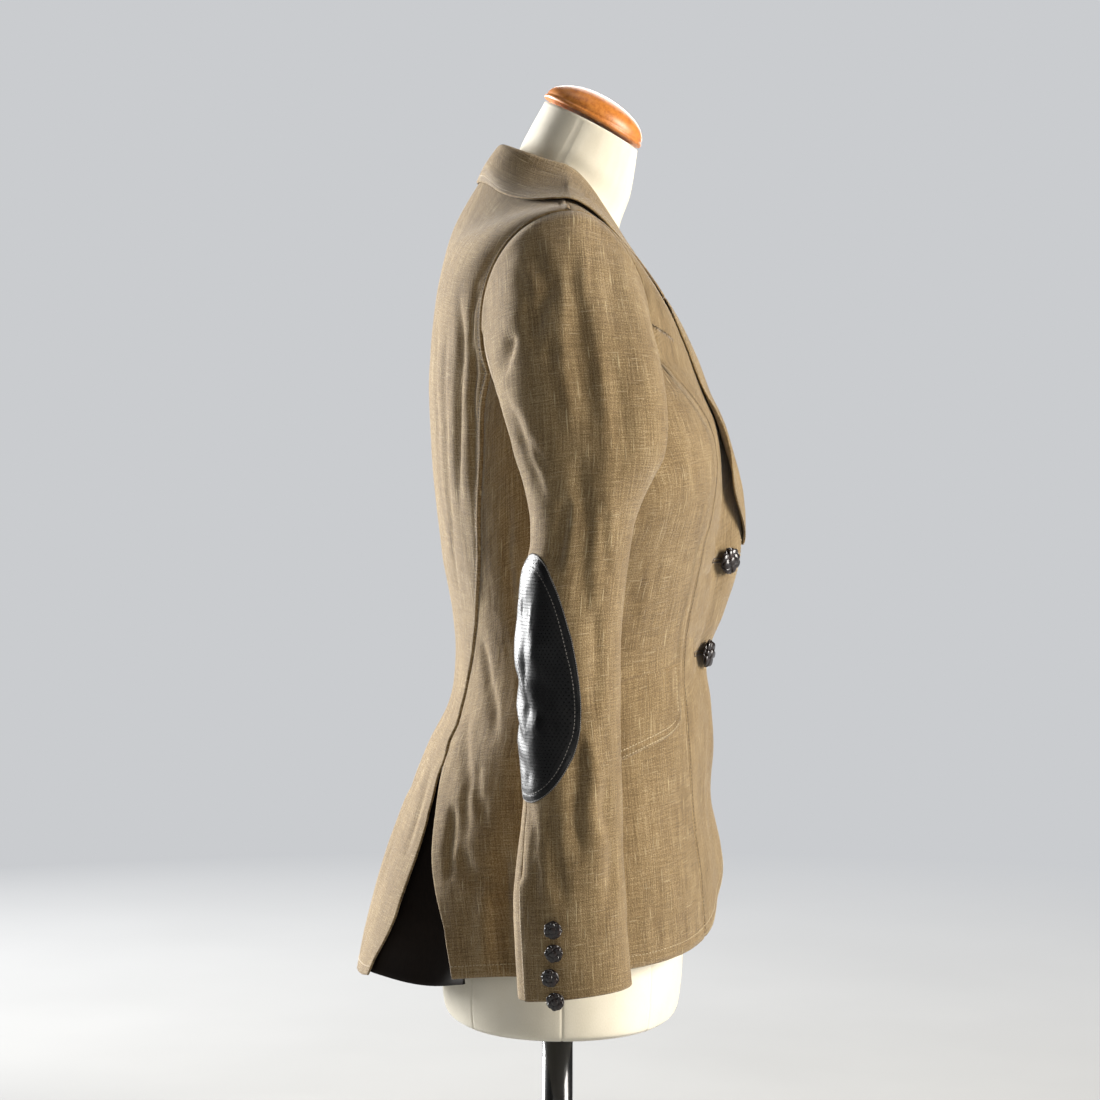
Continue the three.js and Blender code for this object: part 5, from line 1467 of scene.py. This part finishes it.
def button_mesh(radius, height):
    """A domed knot of three bands woven over three, with its shank, foot at the origin and face up."""
    base = 0.36 * height
    dome = (height - base) / 1.13
    verts, faces = [], []

    def add_grid(grid, closed=False):
        start = sum(len(v) for v in verts)
        n, m = grid.shape[:2]
        index = start + np.arange(n * m).reshape(n, m)
        right = np.roll(index, -1, 1) if closed else index[:, 1:]
        left = index if closed else index[:, :-1]
        quads = np.stack([left[:-1], left[1:], right[1:], right[:-1]], -1).reshape(-1, 4)
        verts.append(grid.reshape(-1, 3))
        faces.extend(quads.tolist())

    for lean in (-1, 0, 1):
        sign = 1 if lean == 0 else -1
        for direction in (0, 1):
            band = strap(0.9 * radius, dome, lean, 0.58 * radius, direction, sign if direction == 0 else -sign)
            add_grid(band + [0, 0, base] if direction == 0 else (band + [0, 0, base])[:, ::-1])
    turn = np.linspace(0, 2 * np.pi, 33)[:-1]
    shank = [[(r * radius * math.cos(a), r * radius * math.sin(a), h * height) for a in turn]
             for r, h in SHANK_PROFILE]
    add_grid(np.array(shank), closed=True)
    return np.concatenate(verts) * MM, faces


def place_button(name, size, point, normal, side, spin):
    verts, faces = button_mesh(size["radius"], size["height"])
    turn = Vector(normal * [side, 1, 1]).to_track_quat("Z", "Y").to_matrix()
    c, s = math.cos(spin), math.sin(spin)
    verts = verts @ np.array([[c, s, 0], [-s, c, 0], [0, 0, 1]])
    verts = verts @ np.array(turn).T + placed(np.asarray(point), side)
    dress(make_object(name + "_knot", verts, faces, materials=[BUTTON]), name)


BUTTONHOLE = dict(before=3, after=22, half=1.5, pitch=0.55, length=0.9, radius=0.55, lift=0.15)


def build_buttonholes():
    """Worked holes across the right front, from just before each button away from the edge."""
    lines = []
    for x, z in FRONT_BUTTONS:
        run = np.linspace(x - BUTTONHOLE["before"], x + BUTTONHOLE["after"], 60)
        turn = np.linspace(-np.pi / 2, np.pi / 2, 9)[1:-1]
        half = BUTTONHOLE["half"]
        xs = np.concatenate([run, run[-1] + half * np.cos(turn), run[::-1]])
        zs = z + np.concatenate([np.full(60, -half), half * np.sin(turn), np.full(60, half)])
        a, s = torso_where({"x": xs, "z": zs}, (0.05, 7))
        lift = body_relief(torso(a, s), a, RIGHT) + BUTTONHOLE["lift"]
        lines.append((placed(torso_at(a, s, lift), RIGHT), torso_normal(a, s) * [RIGHT, 1, 1]))
    sizes = [BUTTONHOLE[key] for key in ("pitch", "length", "radius")]
    stitches("buttonholes_right", lines, THREAD_DARK, "linen", *sizes)


def build_buttons():
    for i, (x, z) in enumerate(FRONT_BUTTONS):
        a, s = torso_where({"x": x, "z": z}, (0.05, 7))
        normal = torso_normal(a, s)
        point = torso_at(a, s, BUTTON_STANDOFF)
        place_button(f"front_button_{i + 1}", FRONT_BUTTON, point, normal, RIGHT, 0.4 + i)
    for side in SIDES:
        for i, (y, z) in enumerate(CUFF_BUTTONS):
            v, q = sleeve_where(y, z)
            point = sleeve_surface(v, q, side, BUTTON_STANDOFF - 0.6)
            name = f"cuff_button_{SIDES[side]}_{i + 1}"
            place_button(name, CUFF_BUTTON, point, sleeve_normal(v, q), side, 0.7 * i)


# ---------------------------------------------------------------- dress form and stand


def form_rows():
    """The form's sections: the lower body, then the jacket's own drawn in, then the neck."""
    shoulder = 8
    columns = {}
    for name in BODY:
        drawn = BODY[name][5:NECK_RING].copy()
        count = np.arange(len(drawn))
        eases = {
            "back": 1,
            "front": np.where(count == shoulder, 1.3, 1),
            "half": np.where(count == shoulder, 3, 1),
            "zSide": np.where(count >= shoulder - 1, 1, 0),
            "zFront": np.where(count >= shoulder, 0.7, 0),
            "zBack": np.where(count >= shoulder, 0.5, 0),
        }
        drawn = drawn * (name != "prow") - FORM_EASE * eases.get(name, 0)
        columns[name] = np.concatenate([FORM_LOWER[name], drawn, FORM_NECK[name]])
    return columns


def closed_rings(grid):
    """Faces through rings [ring][place], closed round and at both ends."""
    n, m = grid.shape[:2]
    index = np.arange(n * m).reshape(n, m)
    after = np.roll(index, -1, 1)
    faces = np.stack([index[:-1], after[:-1], after[1:], index[1:]], -1).reshape(-1, 4).tolist()
    return faces + [index[0][::-1].tolist(), index[-1].tolist()]


FORM_ROUND = 420  # about the length from the centre front to the centre back
FORM_SEAMS = np.array([0, 0.27, 0.5, 0.74, 1.0])
FORM_NECK_SEAM = 0.56
SEAM_OFFSETS = np.array([-6, -3, -1.6, -0.8, 0, 0.8, 1.6, 3, 6]) / FORM_ROUND


def build_form():
    rows = form_rows()
    last = len(rows["half"]) - 1
    places = np.concatenate([np.linspace(0, 1, 65), (FORM_SEAMS[:, None] + SEAM_OFFSETS[None]).ravel()])
    places = np.unique(np.round(places[(places >= 0) & (places <= 1)], 5))
    around = np.concatenate([places, 2 - places[::-1][1:-1]])
    a, s = np.meshgrid(around, spaced(0, (3, 34), (last, 120)))
    mirrored, sign = np.where(a > 1, 2 - a, a), np.where(a > 1, -1, 1)
    surface = lambda at, row: section_point(rows, at, row)
    p, normal = surface(mirrored, s), normal_of(surface, mirrored, np.clip(s, 0.02, last - 0.02))
    z = p[..., 2]
    near = np.min(np.abs(mirrored[..., None] - FORM_SEAMS), -1) * FORM_ROUND
    neck_near = np.abs(mirrored - FORM_NECK_SEAM) * 130
    is_neck = (z > 600) & (s > last - 2.2)
    groove = np.where(is_neck, np.exp(-((neck_near / 1.1) ** 2)), np.exp(-(near**2)))
    lift = -0.55 * groove + 0.25 * noise(mirrored * FORM_ROUND, z, 60, 71)
    p = (p + normal * lift[..., None]) * np.stack([sign, np.ones_like(sign), np.ones_like(sign)], -1)
    verts = placed(p, LEFT)
    uvs = np.stack([mirrored * FORM_ROUND * MM * sign, z * MM], -1).reshape(-1, 2)
    piece = make_object("dress_form", verts.reshape(-1, 3), closed_rings(verts), uvs, materials=[FORM])
    dress(piece, "form_torso")


def lathe(name, profile, material, count=96):
    """A turned piece from (radius, height) in millimetres, on the Z axis."""
    turn = np.linspace(0, 2 * np.pi, count + 1)[:-1]
    grid = np.array([[(r * math.cos(t), r * math.sin(t), z) for t in turn] for r, z in profile]) * MM
    return make_object(name, grid.reshape(-1, 3), closed_rings(grid), materials=[material])


def rounded_profile(corners):
    """A profile whose inner corners are given as (radius, height, rounding)."""
    points = []
    for i, (r, z, rounding) in enumerate(corners):
        here = np.array([r, z], float)
        if rounding == 0:
            points.append(tuple(here))
            continue
        before = unit(np.array(corners[i - 1][:2], float) - here)
        after = unit(np.array(corners[i + 1][:2], float) - here)
        for t in np.linspace(0, 1, 7):
            p = here + before * rounding * (1 - t) ** 2 + after * rounding * t**2
            points.append(tuple(p))
    return points


def build_cap():
    radius, rim, dome = CAP["radius"], CAP["rim"], CAP["dome"]
    profile = [(0.5, 0), (radius - 1.2, 0), (radius - 0.4, 0.3), (radius, 1.0)]
    profile += [(radius, rim - 0.8), (radius - 0.5, rim), (radius - 1.1, rim + 0.35)]
    slopes = np.linspace(0.05, math.pi / 2 - 0.01, 26)
    profile += [((radius - 1) * math.cos(t), rim + 0.5 + dome * math.sin(t)) for t in slopes]
    piece = lathe("neck_cap", profile, WOOD)
    lean = CAP["lean"]
    turn = np.array([[1, 0, 0], [0, math.cos(lean), -math.sin(lean)], [0, math.sin(lean), math.cos(lean)]])
    move = np.array([0, CAP["y"], CAP["z"] + FORM_FOOT]) * MM
    for vertex in piece.data.vertices:
        vertex.co = Vector(turn @ np.array(vertex.co) + move)
    dress(piece, "form_cap")


def build_stand():
    height, bevel = BASE["height"], BASE["bevel"]
    base = lathe("stand_plate", rounded_profile([
        (0.5, 0, 0), (BASE["radius"], 0, 0.8), (BASE["radius"], height, bevel), (0.5, height, 0),
    ]), STEEL, 160)
    dress(base, "stand_base")
    foot, top = height + GAP, FORM_FOOT - GAP
    pole = lathe("stand_tube", rounded_profile([
        (0.5, foot, 0), (POLE["flange_radius"], foot, 0.5),
        (POLE["flange_radius"], height + POLE["flange_height"] * 0.45, 2),
        (POLE["radius"], height + POLE["flange_height"], 3), (POLE["radius"], top, 0), (0.5, top, 0),
    ]), STEEL, 64)
    dress(pole, "stand_pole")


# ---------------------------------------------------------------- the whole

for side in SIDES:
    build_front(side)
    build_side_panel(side, "side_front", princess_a, side_seam_a)
    build_side_panel(side, "side_back", side_seam_a, side_panel_edge_a)
    build_back(side)
    build_pleat(side)
    build_lapel(side)
    build_sleeve(side)
    build_patch(side)
    build_flap(side)
build_collar()
build_buttons()
build_buttonholes()
build_form()
build_cap()
build_stand()

for node, cloth in cloths.items():
    if cloth is None:
        continue

floor_corners = [(x * FLOOR_REACH, y * FLOOR_REACH, 0) for x, y in ((-1, -1), (1, -1), (1, 1), (-1, 1))]
floor = make_object("floor", floor_corners, [(0, 1, 2, 3)], materials=[floor_material()])

world = bpy.data.worlds.new("studio")
bpy.context.scene.world = world
world.use_nodes = True
WORLD_LIGHT = 0.06  # the pale backdrop lights the object less than it shows
WORLD_TINT = (1, 0.99, 0.97, 1)
backdrop = world.node_tree.nodes["Background"]
backdrop.inputs["Color"].default_value = (*BACKDROP, 1)
backdrop.inputs["Strength"].default_value = 1.0
ambient = world.node_tree.nodes.new("ShaderNodeBackground")
ambient.inputs["Color"].default_value = WORLD_TINT
ambient.inputs["Strength"].default_value = WORLD_LIGHT
rays = world.node_tree.nodes.new("ShaderNodeLightPath")
blend = world.node_tree.nodes.new("ShaderNodeMixShader")
for source, socket in (
    (rays.outputs["Is Camera Ray"], blend.inputs[0]),
    (ambient.outputs[0], blend.inputs[1]),
    (backdrop.outputs[0], blend.inputs[2]),
    (blend.outputs[0], world.node_tree.nodes["World Output"].inputs["Surface"]),
):
    world.node_tree.links.new(source, socket)


def area_light(name, place, target, size, power, color=(1, 1, 1)):
    data = bpy.data.lights.new(name, "AREA")
    data.shape = "RECTANGLE"
    data.size, data.size_y = size
    data.energy = power
    data.color = color
    lamp = bpy.data.objects.new(name, data)
    lamp.location = place
    lamp.rotation_euler = (Vector(target) - Vector(place)).to_track_quat("-Z", "Y").to_euler()
    bpy.context.scene.collection.objects.link(lamp)


area_light("key_back", (1.75, 2.15, 1.0), (0, 0, 0.45), (0.9, 1.5), 300)
area_light("key_front", (-0.7, -2.5, 1.2), (0, 0, 0.5), (1.2, 1.6), 140, (1, 0.96, 0.9))
area_light("far_side", (2.4, -0.4, 1.5), (0, 0, 0.5), (1.2, 1.6), 45)
area_light("fill", (-2.6, 0.9, 1.5), (0, 0, 0.45), (1.4, 1.4), 7)
area_light("overhead", (0.2, 0, 2.9), (0, 0, 0.5), (1.4, 1.4), 6)

EYE = 0.644
CAMERA_DISTANCE = 2.45
CAMERA_Y = 0.00585
FOCAL_PIXELS = 3145.4
FRAME_PIXELS = 1100
TILT = math.radians(2.765)
camera_data = bpy.data.cameras.new("photo_view")
camera_data.sensor_width = 36
camera_data.lens = 36 * FOCAL_PIXELS / FRAME_PIXELS
camera = bpy.data.objects.new("photo_view", camera_data)
camera.location = (-CAMERA_DISTANCE, CAMERA_Y, EYE)
camera.rotation_euler = Vector((math.cos(TILT), 0, -math.sin(TILT))).to_track_quat("-Z", "Y").to_euler()
bpy.context.scene.collection.objects.link(camera)
bpy.context.scene.camera = camera
bpy.context.scene.view_settings.view_transform = "Standard"
